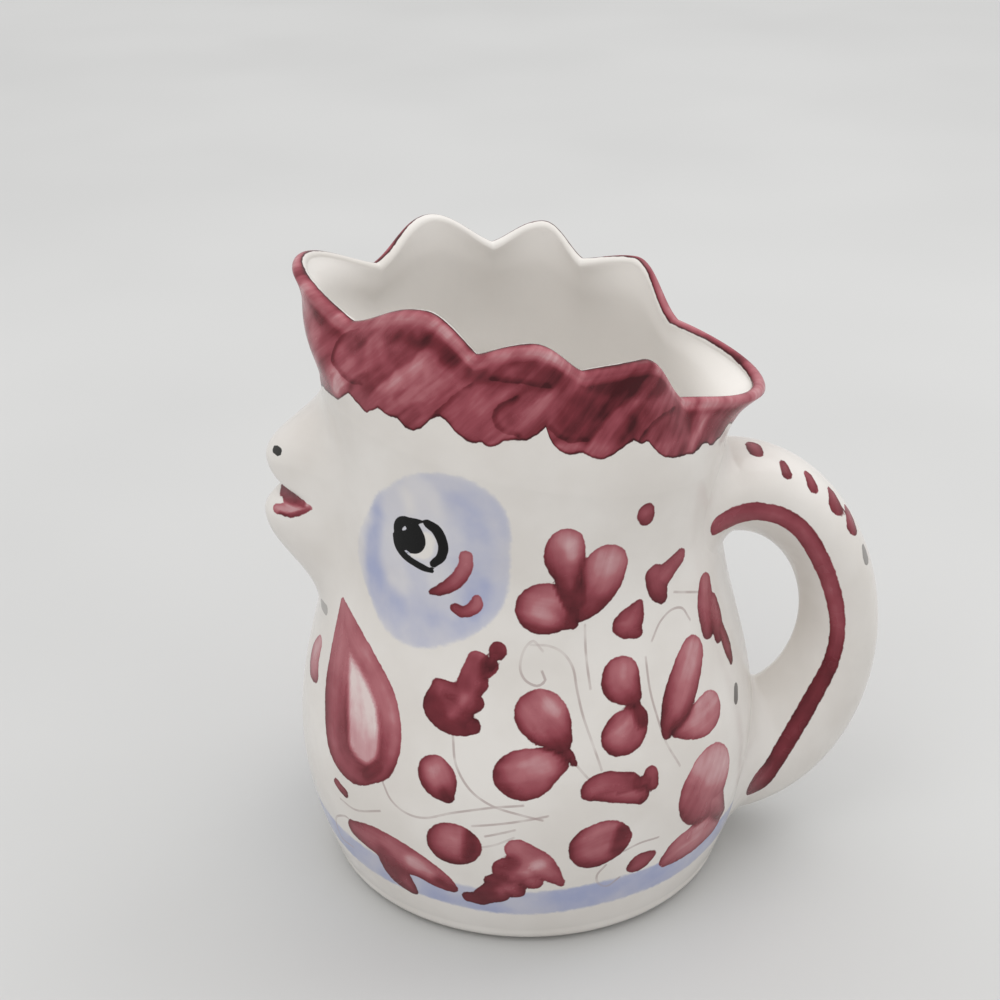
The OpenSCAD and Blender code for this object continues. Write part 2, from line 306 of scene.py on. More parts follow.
# Dark and light places in the sprigs: what they add to the tone, then the strokes
SPRIG_TINTS = [
    (-0.2, [(452, 714, 5), (464, 700, 6)]),
    (0.35, [(485, 668, 7), (480, 700, 5), (474, 726, 6)]),
    (0.3, [(432, 700, 8), (438, 712, 8)]),
    (0.3, [(498, 650, 7), (498, 653, 7)]),
    (0.25, [(474, 660, 8), (466, 684, 8)]),
    (0.2, [(446, 724, 6), (462, 728, 7)]),
    (-0.25, [(412, 862, 6), (428, 872, 5)]),
    (0.2, [(385, 855, 7), (395, 868, 7)]),
    (0.2, [(440, 881, 4), (452, 888, 4)]),
    (-0.25, [(526, 872, 5), (540, 864, 6)]),
    (-0.2, [(502, 890, 5), (514, 884, 5)]),
    (0.25, [(492, 882, 8), (512, 862, 8)]),
    (0.35, [(474, 897, 5), (490, 896, 6)]),
    (0.55, [(471, 834, 7), (470, 846, 8), (468, 856, 6)]),
    (0.5, [(624, 830, 7), (618, 848, 7)]),
    (0.35, [(446, 796, 6), (449, 798, 6)]),
    (-0.15, [(431, 770, 7), (435, 780, 7)]),
    (-0.12, [(525, 770, 10), (548, 768, 9)]),
    (-0.12, [(550, 706, 8), (556, 712, 8)]),
    (-0.12, [(526, 732, 6), (540, 738, 6)]),
    (0.15, [(499, 775, 6), (508, 792, 6)]),
    (0.15, [(580, 560, 3), (580, 590, 6)]),
    (0.2, [(570, 596, 5), (575, 612, 7), (572, 624, 5)]),
    (0.2, [(554, 742, 5), (566, 752, 7), (575, 764, 3)]),
    (0.2, [(638, 706, 4), (643, 718, 6)]),
    (0.2, [(676, 722, 3), (668, 735, 4)]),
    (-0.15, [(570, 545, 7), (572, 556, 7)]),
    (-0.12, [(540, 612, 10), (548, 618, 9)]),
    (0.12, [(605, 602, 5), (590, 600, 6)]),
]

# Strokes of the face and the wattle
FACE = [
    ("blush", [(350, 645, 8), (359, 690, 20), (362, 720, 23), (363, 752, 20)]),
    ("wattle", [(343, 603, 3), (341, 635, 8), (336, 680, 11), (335, 715, 11), (338, 748, 10), (352, 770, 9),
                (370, 776, 8), (385, 767, 9), (391, 738, 10), (386, 700, 10), (370, 665, 9), (352, 632, 8),
                (343, 603, 3)]),
    ("leaf", [(366, 775, 3), (377, 767, 4)]),
    ("cheek", [(466, 557, 7), (465, 568, 8), (455, 582, 8), (440, 590, 6), (431, 592, 3)]),
    ("cheek", [(477, 599, 5), (476, 606, 7), (464, 612, 6), (455, 608, 5)]),
    ("light", [(319, 644, 5), (314, 660, 9), (316, 676, 4)]),
    ("leaf", [(337, 783, 3), (345, 793, 3)]),
    ("lip", [(288, 495, 5), (291, 502, 8), (300, 507, 7), (311, 508, 2)],
     [(276, 508, 5), (290, 511, 6), (304, 510, 3)]),
    ("mouth", [(285, 489, 4), (292, 496, 6), (303, 503, 3)]),
    ("mouth", [(280, 514, 1), (293, 516, 2), (309, 509, 2)]),
]

# Black of the eye, the grey dashes, and how strong they are
INK = [
    (1.0, [(408, 533, 13), (410, 537, 13)]),
    (1.0, [(400, 523, 3), (413, 521, 3), (424, 522, 1)]),
    (1.0, [(396, 536, 3), (398, 546, 3), (404, 555, 3), (413, 562, 3), (424, 568, 3), (432, 571, 2)]),
    (1.0, [(428, 524, 4), (437, 531, 5), (443, 545, 5), (441, 557, 5), (433, 564, 4)]),
    (0.95, [(275, 449, 4), (279, 452, 4)]),
    (0.45, [(322, 604, 3), (326, 610, 3)]),
    (0.75, [(736, 688, 3), (736, 699, 3)]),
]
EYE_LIGHTS = [[(403, 530, 1), (405, 528, 2)], [(406, 551, 1), (414, 557, 1)]]
EYE_WHITE = [(427, 540, 8), (424, 552, 8), (412, 555, 3)]

# Pale blue: its strength, then the strokes
BLUE = [
    (0.5, [(398, 526, 38), (428, 514, 39), (459, 521, 40), (470, 550, 38), (470, 590, 37), (440, 606, 38),
           (406, 592, 40), (396, 556, 39), (430, 560, 45)]),
    (0.25, [(376, 515, 7), (367, 550, 9), (374, 580, 10), (392, 606, 12)]),
    (0.2, [(455, 505, 10), (475, 530, 12), (482, 565, 11), (476, 602, 11)]),
    (0.2, [(435, 620, 8), (455, 628, 9), (468, 618, 8)]),
    (-0.2, [(398, 500, 14), (390, 545, 9), (398, 578, 10)]),
    (-0.15, [(420, 495, 16), (440, 580, 12)]),
]
BAND_LOW_PX = (520, 912)
BAND_HIGH_PX = (520, 889)
BAND_WAVES = [(0.5, 3, 0, 0), (0.25, 8, 2, 0)]
BAND_STRENGTH = 0.75

# Thin tendrils between the sprigs, in two layers so that those that cross stay apart
THREADS = [
    [
        [(383, 783), (391, 800), (406, 813), (425, 818), (452, 813), (490, 808), (520, 806)],
        [(543, 674), (545, 681), (537, 686), (525, 680), (520, 667), (524, 650), (533, 641), (541, 649)],
        [(585, 628), (586, 655), (590, 686)],
        [(646, 660), (650, 690), (657, 716), (666, 742), (679, 764)],
        [(653, 638), (660, 622), (671, 610), (682, 608), (689, 618)],
        [(676, 592), (697, 592)],
        [(478, 848), (495, 845), (511, 839)],
        [(352, 823), (345, 816), (336, 818), (341, 836), (352, 846)],
        [(475, 826), (510, 823), (545, 817)],
        [(604, 867), (597, 875), (598, 883), (607, 886), (617, 879)],
    ],
    [
        [(453, 738), (456, 765), (470, 790), (492, 806), (520, 815), (540, 820)],
        [(534, 645), (549, 646), (563, 653), (573, 668), (577, 690), (583, 716), (592, 742), (601, 768)],
        [(577, 766), (592, 783)],
        [(488, 836), (512, 831)],
        [(622, 852), (640, 843), (656, 838)],
        [(342, 800), (356, 810), (378, 811)],
    ],
]

# Lower edge of the comb's wash, from the beak round to the handle
WASH_EDGE = [
    (322, 386), (330, 394), (338, 400), (349, 393), (356, 402), (366, 413), (378, 408), (386, 415),
    (398, 419), (405, 428), (413, 431), (422, 428), (431, 419), (439, 416), (447, 421), (454, 431),
    (466, 441), (475, 444), (481, 442), (487, 447), (496, 446), (504, 441), (516, 440), (526, 441),
    (536, 436), (546, 427), (550, 440), (557, 449), (566, 455), (584, 453), (592, 458), (602, 460),
    (612, 456), (624, 447), (634, 440), (641, 445), (648, 441), (656, 451), (664, 457), (676, 458),
    (690, 454),
]

# Dark and light places in the comb's wash, painted shade and highlights among them: what they add to its
# tone, then the strokes
# Darks under the rolled rim and in its valleys: painted shade, with paint pooled there; lights on the lobes'
# tops and pale streaks: painted highlights
WASH_SHADE_AND_HIGHLIGHT_TINTS = [
    (0.36, [(388, 338, 7), (405, 337, 8), (420, 342, 7)]),
    (0.55, [(425, 336, 5), (438, 347, 7), (455, 360, 10), (468, 369, 12), (480, 375, 9)]),
    (0.3, [(480, 378, 5), (505, 381, 4), (530, 384, 6), (560, 382, 7)]),
    (0.3, [(515, 362, 5), (535, 364, 5)]),
    (0.36, [(520, 375, 4), (545, 372, 6), (575, 372, 6)]),
    (0.75, [(588, 380, 8), (605, 383, 12), (625, 384, 13), (650, 383, 14), (662, 385, 10)]),
    (0.25, [(314, 308, 6), (324, 320, 6), (338, 331, 5)]),
    (0.18, [(350, 338, 8), (358, 352, 8)]),
    (-0.3, [(334, 381, 9), (342, 391, 8)]),
    (-0.15, [(305, 262, 8), (325, 290, 8), (345, 316, 6)]),
    (-0.2, [(440, 322, 6), (455, 338, 6), (468, 352, 4)]),
    (-0.2, [(495, 352, 6), (530, 349, 8), (560, 356, 7)]),
    (-0.15, [(605, 370, 4), (635, 363, 5)]),
    (-0.2, [(668, 370, 4), (682, 392, 5), (690, 403, 4)]),
    (0.22, [(575, 415, 22), (615, 420, 26)]),
    (0.25, [(655, 425, 16), (690, 420, 14)]),
    (0.25, [(695, 408, 6), (735, 405, 6)]),
    (-0.14, [(380, 380, 14), (420, 372, 12)]),
    (-0.14, [(440, 384, 6), (420, 404, 6)]),
    (-0.14, [(500, 394, 6), (480, 408, 7)]),
    (-0.12, [(525, 418, 12), (545, 402, 12)]),
    (-0.16, [(600, 403, 4), (608, 396, 5)]),
    (-0.22, [(552, 444, 4), (566, 449, 5), (580, 447, 3)]),
    (-0.2, [(662, 416, 5), (648, 428, 4)]),
    (-0.12, [(700, 420, 8), (690, 432, 8)]),
]

# Wet edges where brush strokes of the wash end, with the stroke on the left of the way along them
WASH_LINES = [
    [(355, 329), (345, 333), (337, 341), (333, 350), (331, 361), (336, 369), (344, 378), (352, 384),
     (358, 385)],
    [(466, 386), (457, 392), (447, 401), (436, 411)],
    [(496, 381), (508, 383), (522, 384), (545, 388)],
    [(512, 398), (500, 404), (493, 413), (494, 424), (502, 432), (514, 436)],
    [(549, 430), (558, 438), (570, 443), (582, 442)],
    [(672, 408), (660, 416), (648, 427), (640, 438)],
]

# Layers of threads on the canvas: the tendrils, and the wash's wet edges in one more
WASH_LAYER = len(THREADS)
THREAD_LAYERS = WASH_LAYER + 1

# Strokes on the handle: a stripe along its near edge and dashes down its spine
STRIPE = [
    (717, 526, 7), (738, 517, 8), (760, 513, 9), (785, 519, 9), (805, 535, 9), (822, 565, 9), (834, 600, 8),
    (837, 632, 8), (830, 664, 8), (811, 700, 9), (791, 735, 9), (773, 764, 8), (761, 779, 8), (757, 784, 8),
]
DASHES = [
    [(753, 445, 5), (756, 452, 6)],
    [(783, 463, 3), (787, 474, 5)],
    [(808, 475, 3), (813, 487, 5)],
    [(831, 491, 3), (836, 505, 6)],
    [(848, 511, 4), (852, 525, 6)],
]
GREY_DASH = (0.6, [(864, 549, 3), (866, 558, 4)])

# Noises in the materials: how fine they are, in waves to a metre, and how detailed
CLOUD_NOISE = (60.0, 3.0)
RAGGED_NOISE = (900.0, 2.0)
WATER_NOISE = (140.0, 3.0)
BREAK_NOISE = (220.0, 2.0)
POOL_NOISE = (230.0, 2.0)
BEND_NOISE = (130.0, 2.0)
GLOSS_NOISE = (300.0, 2.0)
WAVE_NOISE = (85.0, 2.0)
PIT_NOISE = (700.0, 1.0)
FLOOR_NOISE = (6.0, 2.0)
GRAIN_DETAIL = 3.0

# Smooth steps in the materials: from and to, then what they give at both ends if not 0 and 1.
# Those of the paint are depths in millimetres
MOTTLE_RAMP = (0.3, 0.7)
WATER_RAMP = (0.25, 0.75, 0.65, 1.15)
BLUE_RAMP = (-0.35, 0.45)
BREAK_RAMP = (0.3, 0.6, 0.25, 0.75)
THREAD_RAMP = (0.28, 0.14)
THREAD_END_RAMP = (0.9, 0.5)
PAINT_RAMP = (-0.1, 0.1)
WET_RAMP = (0.1, 0.55)
LINE_NEAR_RAMP = (-0.15, 0.1)
LINE_FAR_RAMP = (1.4, 0.1)
LINE_END_RAMP = (1.6, 0.5)
INK_RAMP = (-0.07, 0.07)
GLOSS_RAMP = (0.3, 0.7, 0.14, 0.22)

# How ragged the edges of paint, wet lines and ink are
PAINT_RAGGED = 0.45
LINE_RAGGED = 0.5
INK_RAGGED = 0.15

# Pools in the paint, dabs in the wash, and the glaze's gloss and waves
POOL_TONE = 0.3
DAB_BEND = 6.0
DAB_SCALE = 0.26
DAB_SMOOTHNESS = 0.5
PAINT_ROUGHNESS = 0.06
GLAZE_SPECULAR = 0.22
PIT_SHARE = 0.05
BUMP_STRENGTH = 0.35
BUMP_M = 0.0008
FLOOR_ROUGHNESS = 0.7

# The two glazes: streaks and fineness of the brush's grain, tone of the wet edge and of the dabs
GLAZES = {"white_glaze": (0.28, 0.45, 0.08, 0.0), "comb_glaze": (0.5, 0.5, 0.28, 0.36)}

# Colours as the eye sees them, from 0 to 255
GLAZE_LIGHT = (231, 227, 222)
GLAZE_DEEP = (222, 217, 211)
# The inside's glaze is paler than the outside's: painted light that brightens the inside
GLAZE_INSIDE_PAINTED_LIGHT = (236, 232, 227)
BLUE_GLAZE = (150, 160, 200)
THREAD_GREY = (176, 160, 157)
INK_BLACK = (4, 4, 5)
FLOOR_PALE = (204, 204, 203)
FLOOR_DEEP = (199, 199, 198)
PINK_TO_MAROON = [
    (0.0, (222, 205, 202)),
    (0.15, (204, 161, 164)),
    (0.35, (177, 108, 115)),
    (0.55, (149, 72, 82)),
    (0.75, (117, 44, 53)),
    (1.0, (68, 18, 24)),
]


def cosd(angle):
    return np.cos(np.radians(angle))


def sind(angle):
    return np.sin(np.radians(angle))


def smoothstep(value, low, high):
    share = np.clip((value - low) / (high - low), 0, 1)
    return share * share * (3 - 2 * share)


def unit(ways):
    return ways / np.linalg.norm(ways, axis=-1, keepdims=True)


def waves(turn, table, z=0.0):
    """Sum of waves round the jug: each has a height, a number, a start and a lean with height."""
    around = np.radians(turn)
    return sum(height * np.sin(number * around + start + lean * z) for height, number, start, lean in table)


def turn_of(points):
    return np.degrees(np.arctan2(points[..., 1], points[..., 0]))


def wall_radius(z):
    """Radius of the outside of the heel, belly and neck at a height."""
    heel = FOOT_R + (HEEL_R - FOOT_R) * np.sqrt(1 - (1 - np.clip(z, 0, HEEL_Z) / HEEL_Z) ** 2)
    lower = BELLY_R - (BELLY_R - HEEL_R) * ((BELLY_Z - z) / (BELLY_Z - HEEL_Z)) ** 2
    upper = WAIST_R + (BELLY_R - WAIST_R) * (1 + cosd(180 * (z - BELLY_Z) / (WAIST_Z - BELLY_Z))) / 2
    neck = WAIST_R + (COLLAR_R - WAIST_R) * ((z - WAIST_Z) / (SEAM_FRONT_Z - WAIST_Z)) ** 2
    return np.select([z < HEEL_Z, z < BELLY_Z, z < WAIST_Z], [heel, lower, upper], neck)


def wobble(turn, z):
    """How uneven the hand-turned wall is."""
    return waves(turn, WOBBLE_WAVES, z) * smoothstep(z, 0, WOBBLE_FADE_Z)


def lump(turn, height, tip_height, root_height, reach):
    """How far one half of the beak stands out, at a height from the mouth."""
    lip = np.clip(height / tip_height, 0, 1)
    root = np.clip((height - tip_height) / root_height, 0, 1)
    middle_reach = (UPPER_REACH + LOWER_REACH) / 2
    stand = (middle_reach + (reach - middle_reach) * smoothstep(lip, 0, 1)) * (1 + cosd(180 * root)) / 2
    out = np.radians(np.abs(turn - 180)) * WAIST_R
    across = np.clip(out / (BEAK_HALF_W * (1 - (1 - ROOT_WIDTH_SHARE) * root ** 2)), 0, 1)
    valley = (1 - MOUTH_INSET) * (1 - sind(90 * lip)) + MOUTH_DEPTH * np.exp(-(height / MOUTH_ROUND) ** 2)
    valley *= cosd(90 * np.clip(out / MOUTH_HALF_W, 0, 1)) ** 2
    return stand * (1 - valley) * cosd(90 * across) ** BEAK_POWER


def beak_bump(turn, z):
    """How far the beak stands out of the neck."""
    upper = lump(turn, z - MOUTH_Z, UPPER_TIP_Z - MOUTH_Z, UPPER_RISE, UPPER_REACH)
    lower = lump(turn, MOUTH_Z - z, MOUTH_Z - LOWER_TIP_Z, LOWER_FALL, LOWER_REACH)
    return np.where(z >= MOUTH_Z, upper, lower)


def seam_height(radius, turn):
    return SEAM_Z - radius * cosd(turn) * SEAM_SLOPE


def seam_radius(turn):
    return wall_radius(seam_height(wall_radius(seam_height(WAIST_R, turn)), turn))


def scallop(share):
    """From 0 in a valley of the rim to 1 on a tip: sharp in the valley, round on the tip."""
    return (1 - VALLEY_ROUND) * sind(90 * share) + VALLEY_ROUND * (1 - cosd(180 * share)) / 2


def lobe_number(turn):
    """Which lobe or valley of the rim lies at a turn, in fractions from the rear, and if on the near side."""
    full = (turn + COMB_TWIST) % 360
    number = np.arange(len(LOBE_ANGLES))
    near = full > 180
    on_near = np.interp(360 - full, NEAR_LOBE_ANGLES, number)
    return np.where(near, on_near, np.interp(full, LOBE_ANGLES, number)), near


def flute_wave(turn):
    """From -1 in a valley of the rim to 1 on a tip, round in both."""
    return cosd(180 * lobe_number(turn)[0])


def rim_height(turn):
    """Height of the rim at a turn, between its tips and valleys."""
    number, near = lobe_number(turn)
    i = np.minimum(number.astype(int), len(LOBE_HEIGHTS) - 2)
    before, after = (np.where(near, NEAR_LOBE_HEIGHTS[k], LOBE_HEIGHTS[k]) for k in (i, i + 1))
    rising = before + (after - before) * scallop(number - i)
    falling = after + (before - after) * scallop(1 - (number - i))
    return COMB_REAR_Z + (COMB_FRONT_Z - COMB_REAR_Z) * np.where(i % 2 == 1, rising, falling)


def comb_radius(turn, share):
    """Outside radius of the comb at a share of the way from its seam to its rim."""
    root = seam_radius(turn)
    pull = np.where(cosd(turn) > 0, REAR_PULL, FRONT_PULL)
    rim = RIM_R + pull * np.abs(cosd(turn)) ** PULL_POWER
    flute = RUFFLE * flute_wave(turn) * share ** FLUTE_POWER
    swell = FRONT_SWELL * np.maximum(0, -cosd(turn)) ** SWELL_POWER * sind(180 * share) ** 2
    roll = LIP_ROLL * smoothstep(share, ROLL_START, 1)
    return root + (rim - root) * share ** 2 + flute + swell + roll


def place(radius, turn, z):
    """Points at a radius, a turn and a height."""
    radius, turn, z = np.broadcast_arrays(radius, turn, z)
    return np.stack([radius * cosd(turn), radius * sind(turn), z], axis=-1)


def normals_of(sheet):
    """Normals of a sheet of points whose columns close up."""
    across = np.roll(sheet, -1, axis=1) - np.roll(sheet, 1, axis=1)
    up = np.gradient(sheet, axis=0)
    return unit(np.cross(across, up))


class Jug:
    """Sheet of points of the whole jug: from the foot up the outside, over the rim, down to the floor."""

    def __init__(self):
        self.turn = np.arange(COLUMNS) * 360.0 / COLUMNS
        self.rows = []
        self.parts = {}
        self.add("underside", np.linspace(POLE_R, FOOT_R, UNDERSIDE_ROWS, endpoint=False), 0.0)
        heel = HEEL_Z * (1 - cosd(np.linspace(0, 90, HEEL_ROWS)))
        heel = np.append(heel, np.linspace(HEEL_Z, FLOOR_T, BASE_EDGE_ROWS, endpoint=False)[1:])
        self.add("heel", wall_radius(heel), heel, uneven=True)
        self.add("outside", None, self.outside_heights(), uneven=True)
        self.add_comb()
        self.add_inside()
        self.points = np.concatenate(self.rows)
        outside = self.parts["outside"]
        self.bare = self.points.copy()
        z = self.points[outside, :, 2]
        bump = beak_bump(self.turn, z)
        self.points[outside, :, 0] += bump * cosd(self.turn)
        self.points[outside, :, 1] += bump * sind(self.turn)
        self.normals = normals_of(self.points)
        self.bump = np.zeros(self.points.shape[:2])
        self.bump[outside] = bump

    def add(self, name, radius, z, uneven=False):
        """Adds rows of points: one radius and height a row, or one for each column."""
        z = np.asarray(z, float)
        z = z[:, None] if z.ndim == 1 else z
        radius = wall_radius(z) if radius is None else np.asarray(radius, float)
        radius = radius[:, None] if radius.ndim == 1 else radius
        if uneven:
            radius = radius + wobble(self.turn, z)
        radius, z, turn = np.broadcast_arrays(radius, z, self.turn)
        start = sum(len(row) for row in self.rows)
        self.rows.append(place(radius, turn, z))
        self.parts[name] = slice(start, start + len(radius))

    def outside_heights(self):
        """Heights of the outside rows: level up to the ring, then spread up to the sloping seam."""
        stretches = ((FLOOR_T, FACE_Z, BELLY_ROWS), (FACE_Z, MOUTH_Z, LOWER_BEAK_ROWS),
                     (MOUTH_Z, RING_Z, UPPER_BEAK_ROWS))
        level = np.concatenate([np.linspace(*stretch, endpoint=False) for stretch in stretches])
        self.mouth_row = np.flatnonzero(level == MOUTH_Z)[0]
        seam = seam_height(seam_radius(self.turn), self.turn)
        spread = RING_Z + (seam - RING_Z) * np.linspace(0, 1, NECK_ROWS)[:, None]
        return np.concatenate([np.repeat(level[:, None], COLUMNS, axis=1), spread])

    def add_comb(self):
        """The comb's outside, its round rim and its inside."""
        turn = self.turn
        low = seam_height(seam_radius(turn), turn)
        inner_low = seam_height(seam_radius(turn) - WALL_T, turn)
        high = rim_height(turn) - CREST_T / 2
        share = np.linspace(0, 1, COMB_ROWS)[1:, None]
        fade = wobble(turn, low) * (1 - share)
        self.add("comb", comb_radius(turn, share) + fade, low + (high - low) * share)
        angle = np.linspace(0, 180, RIM_ROWS)[1:-1, None]
        crest = comb_radius(turn, 1.0) - CREST_T / 2
        self.add("rim", crest + CREST_T / 2 * cosd(angle), high + CREST_T / 2 * sind(angle))
        share = np.linspace(1, 0, COMB_INSIDE_ROWS)[:, None]
        inner = comb_radius(turn, share) - WALL_T - (RIM_T - WALL_T) * share + LIP_FLARE * share ** LIP_POWER
        self.add("comb_inside", inner, inner_low + (high - inner_low) * share)

    def add_inside(self):
        """The inside of the neck and belly, with a round corner, and the floor."""
        inner_low = seam_height(seam_radius(self.turn) - WALL_T, self.turn)
        share = 1 - (1 - np.linspace(0, 1, INSIDE_ROWS)[1:, None]) ** INSIDE_CROWDING
        z = inner_low + (FLOOR_T - inner_low) * share
        lack = np.clip(FLOOR_FILLET - (z - FLOOR_T), 0, FLOOR_FILLET)
        corner = FLOOR_FILLET - np.sqrt(FLOOR_FILLET ** 2 - lack ** 2)
        radius = wall_radius(z) - WALL_T - corner
        self.add("inside", radius, z)
        self.add("floor", np.linspace(radius[-1].mean(), POLE_R, FLOOR_ROWS)[1:], FLOOR_T)

    def span(self, first, last):
        """Row numbers from one part to another, both whole."""
        return np.arange(self.parts[first].start, self.parts[last].stop)

    def front_line(self, rows_up, half_turn, half_width):
        """A line of paint across the front of the beak, some rows above the middle of the mouth."""
        row = self.points[self.parts["outside"]][self.mouth_row + rows_up]
        line = row[np.abs(self.turn - 180) <= half_turn]
        return np.column_stack([line, np.full(len(line), half_width)])


def ellipse(angle, reach, foot_z, top_z):
    return HANDLE_ROOT_X + reach * cosd(angle), foot_z + (top_z - foot_z) / 2 * (1 + sind(angle))


def spine(angle):
    """Spine of the handle in its middle plane, by angle from straight out."""
    return ellipse(angle, HANDLE_REACH, HANDLE_FOOT_Z, HANDLE_TOP_Z)


def palm(angle):
    """Palm side of the handle in its middle plane."""
    return ellipse(angle, HOLE_REACH, HOLE_FOOT_Z, HOLE_TOP_Z)


def landing(curve, limit):
    """Angle at which the handle's spine or palm side lands on the body."""
    out, inside = 0.0, limit
    for _ in range(HALVINGS):
        middle = (out + inside) / 2
        x, z = curve(middle)
        if x > wall_radius(np.float64(z)):
            out = middle
        else:
            inside = middle
    return out


SPINE_TOP, SPINE_FOOT = landing(spine, LANDING_LIMIT), landing(spine, -LANDING_LIMIT)
PALM_TOP, PALM_FOOT = landing(palm, LANDING_LIMIT), landing(palm, -LANDING_LIMIT)


def handle_section(run, angle):
    """Points of the handle's skin by share of its run and angle round its section, and ways out of it."""
    outer = np.stack(spine(SPINE_TOP + (SPINE_FOOT - SPINE_TOP) * run), axis=-1)
    inner = np.stack(palm(PALM_TOP + (PALM_FOOT - PALM_TOP) * run), axis=-1)
    top_flare = np.clip(1 - run / FLARE_SHARE, 0, 1) ** 2
    foot_flare = np.clip(1 - (1 - run) / FLARE_SHARE, 0, 1) ** 2
    width = GRIP_W + (TOP_ROOT_W - GRIP_W) * top_flare + (FOOT_ROOT_W - GRIP_W) * foot_flare
    power = np.where(cosd(angle) > 0, SECTION_POWER, PALM_POWER)
    out = np.sign(cosd(angle)) * np.abs(cosd(angle)) ** power
    side = np.sign(sind(angle)) * np.abs(sind(angle)) ** power
    half = (outer - inner) / 2
    flat = (outer + inner) / 2 + half * out[..., None]
    skin = np.stack([flat[..., 0], width / 2 * side, flat[..., 1]], axis=-1)
    away = unit(half) * cosd(angle)[..., None]
    return skin, np.stack([away[..., 0], sind(angle), away[..., 1]], axis=-1)


def uneven_radius(points):
    """Radius of the uneven wall at the turn and height of points."""
    return wall_radius(points[..., 2]) + wobble(turn_of(points), points[..., 2])


def body_gap(points):
    """How far points stand off the body's wall."""
    return np.hypot(points[..., 0], points[..., 1]) - uneven_radius(points)


def wall_normals(points):
    """Ways out of the wall at points on it."""
    step = np.array([0, 0, SMALL_STEP])
    slope = (uneven_radius(points + step) - uneven_radius(points - step)) / (2 * SMALL_STEP)
    return unit(np.concatenate([unit(points[..., :2]), -slope[..., None]], axis=-1))


def meeting_run(angle, clear, buried, gap):
    """Share of the run at which the handle's skin comes this near to the body, by angle of its section."""
    clear, buried = np.full(angle.shape, clear), np.full(angle.shape, buried)
    for _ in range(HALVINGS):
        middle = (clear + buried) / 2
        free = body_gap(handle_section(middle, angle)[0]) > gap
        clear, buried = np.where(free, middle, clear), np.where(free, buried, middle)
    return clear


def on_wall(points, bed):
    """Points moved straight out or in to a depth under the wall."""
    share = (uneven_radius(points) - bed) / np.hypot(points[..., 0], points[..., 1])
    return points * np.stack([share, share, np.ones_like(share)], axis=-1)


def along_wall(ways, normals):
    """The share of some ways that runs along the wall, at full length."""
    return unit(ways - (ways * normals).sum(axis=-1, keepdims=True) * normals)


def fillet_rings(angle, clear, buried):
    """Rings that lead from under the wall in a curve on to the handle, and the run that they reach."""
    side = sind(angle) ** 2
    size = SIDE_FILLET * side + np.where(cosd(angle) > 0, SPINE_FILLET, PALM_FILLET) * (1 - side)
    corner, away = handle_section(meeting_run(angle, clear, buried, 0.0), angle)
    run = meeting_run(angle, clear, buried, FILLET_END_SHARE * size)
    last = handle_section(run, angle)[0]
    ahead = unit(handle_section(run + (clear - buried) * RUN_STEP, angle)[0] - last)
    root = on_wall(corner + along_wall(away, wall_normals(corner)) * size[:, None], HANDLE_BED)
    back = along_wall(corner - root, wall_normals(root))
    pull = FILLET_PULL * size[:, None]
    t = np.linspace(0, 1, FILLET_RINGS, endpoint=False)[:, None, None]
    curve = (1 - t) ** 3 * root + 3 * t * (1 - t) ** 2 * (root + back * pull)
    curve += 3 * t ** 2 * (1 - t) * (last - ahead * pull) + t ** 3 * last
    middle = root.mean(axis=0)
    hidden = [on_wall(middle + (root - middle) * share, ROOT_BED) for share in ROOT_RING_SHARES]
    return np.concatenate([hidden, curve]), run


def handle_sheet():
    """Rings of the handle from the neck round to the foot, and their normals."""
    angle = -np.arange(HANDLE_SIDES) * 360.0 / HANDLE_SIDES
    top, top_run = fillet_rings(angle, *TOP_RUNS)
    foot, foot_run = fillet_rings(angle, *FOOT_RUNS)
    share = (1 - cosd(np.linspace(0, 180, HANDLE_RUNS))) / 2
    run = top_run + (foot_run - top_run) * share[:, None]
    sheet = np.concatenate([top, handle_section(run, np.broadcast_to(angle, run.shape))[0], foot[::-1]])
    normals = normals_of(sheet)
    hidden = len(top) - FILLET_RINGS
    for ring in (hidden, -hidden - 1):
        normals[ring] = wall_normals(sheet[ring])
    return sheet, normals


def camera_matrix():
    """Place and turn of the photograph's camera, in millimetres."""
    tilt = Matrix.Rotation(np.radians(90 - CAMERA_PITCH), 4, "X")
    return Matrix.Translation(CAMERA_POS) @ tilt @ Matrix.Rotation(np.radians(CAMERA_ROLL), 4, "Z")


def tree_of(sheet, rows):
    """Search tree of some rows of a sheet, to find what a pixel shows."""
    points = sheet[rows].reshape(-1, 3)
    quads = quads_of(len(rows), sheet.shape[1])
    return BVHTree.FromPolygons(points.tolist(), quads.tolist())


def quads_of(rows, columns, closed=False):
    """Corner numbers of the quads between rows of points whose columns close up."""
    j, i = np.meshgrid(np.arange(rows if closed else rows - 1), np.arange(columns), indexing="ij")
    up, right = (j + 1) % rows, (i + 1) % columns
    return np.stack([j * columns + i, j * columns + right, up * columns + right, up * columns + i],
                    axis=-1).reshape(-1, 4)


def pixel_ray(x, y):
    """Way from the camera through a pixel of the photograph."""
    axes = camera_matrix().to_3x3()
    middle = PHOTO_PX / 2
    return axes.col[0] * ((x - middle) / FOCAL_PX) - axes.col[1] * ((y - middle) / FOCAL_PX) - axes.col[2]


def seen_at(tree, x, y):
    """Point that a pixel of the photograph shows, and the surface's way out there."""
    hit, normal, _, _ = tree.ray_cast(CAMERA_POS, pixel_ray(x, y))
    if hit is None:
        raise ValueError(f"pixel {x}, {y} shows nothing of this surface")
    return hit, normal


def true_width(hit, normal, pixel, half, pixel_way):
    """Half width on the slanting surface of a stroke that looks some pixels wide."""
    way = Vector((pixel_way[0], pixel_way[1])).normalized()
    ray = pixel_ray(pixel[0] - way.y * half, pixel[1] + way.x * half)
    plain = (pixel_ray(*pixel) - ray).length * (hit - CAMERA_POS).length / ray.length
    slant = ray.dot(normal)
    if abs(slant) < MIN_SLANT:
        return plain * MAX_WIDENING
    edge = CAMERA_POS + ray * ((hit - CAMERA_POS).dot(normal) / slant)
    return min((edge - hit).length, plain * MAX_WIDENING)


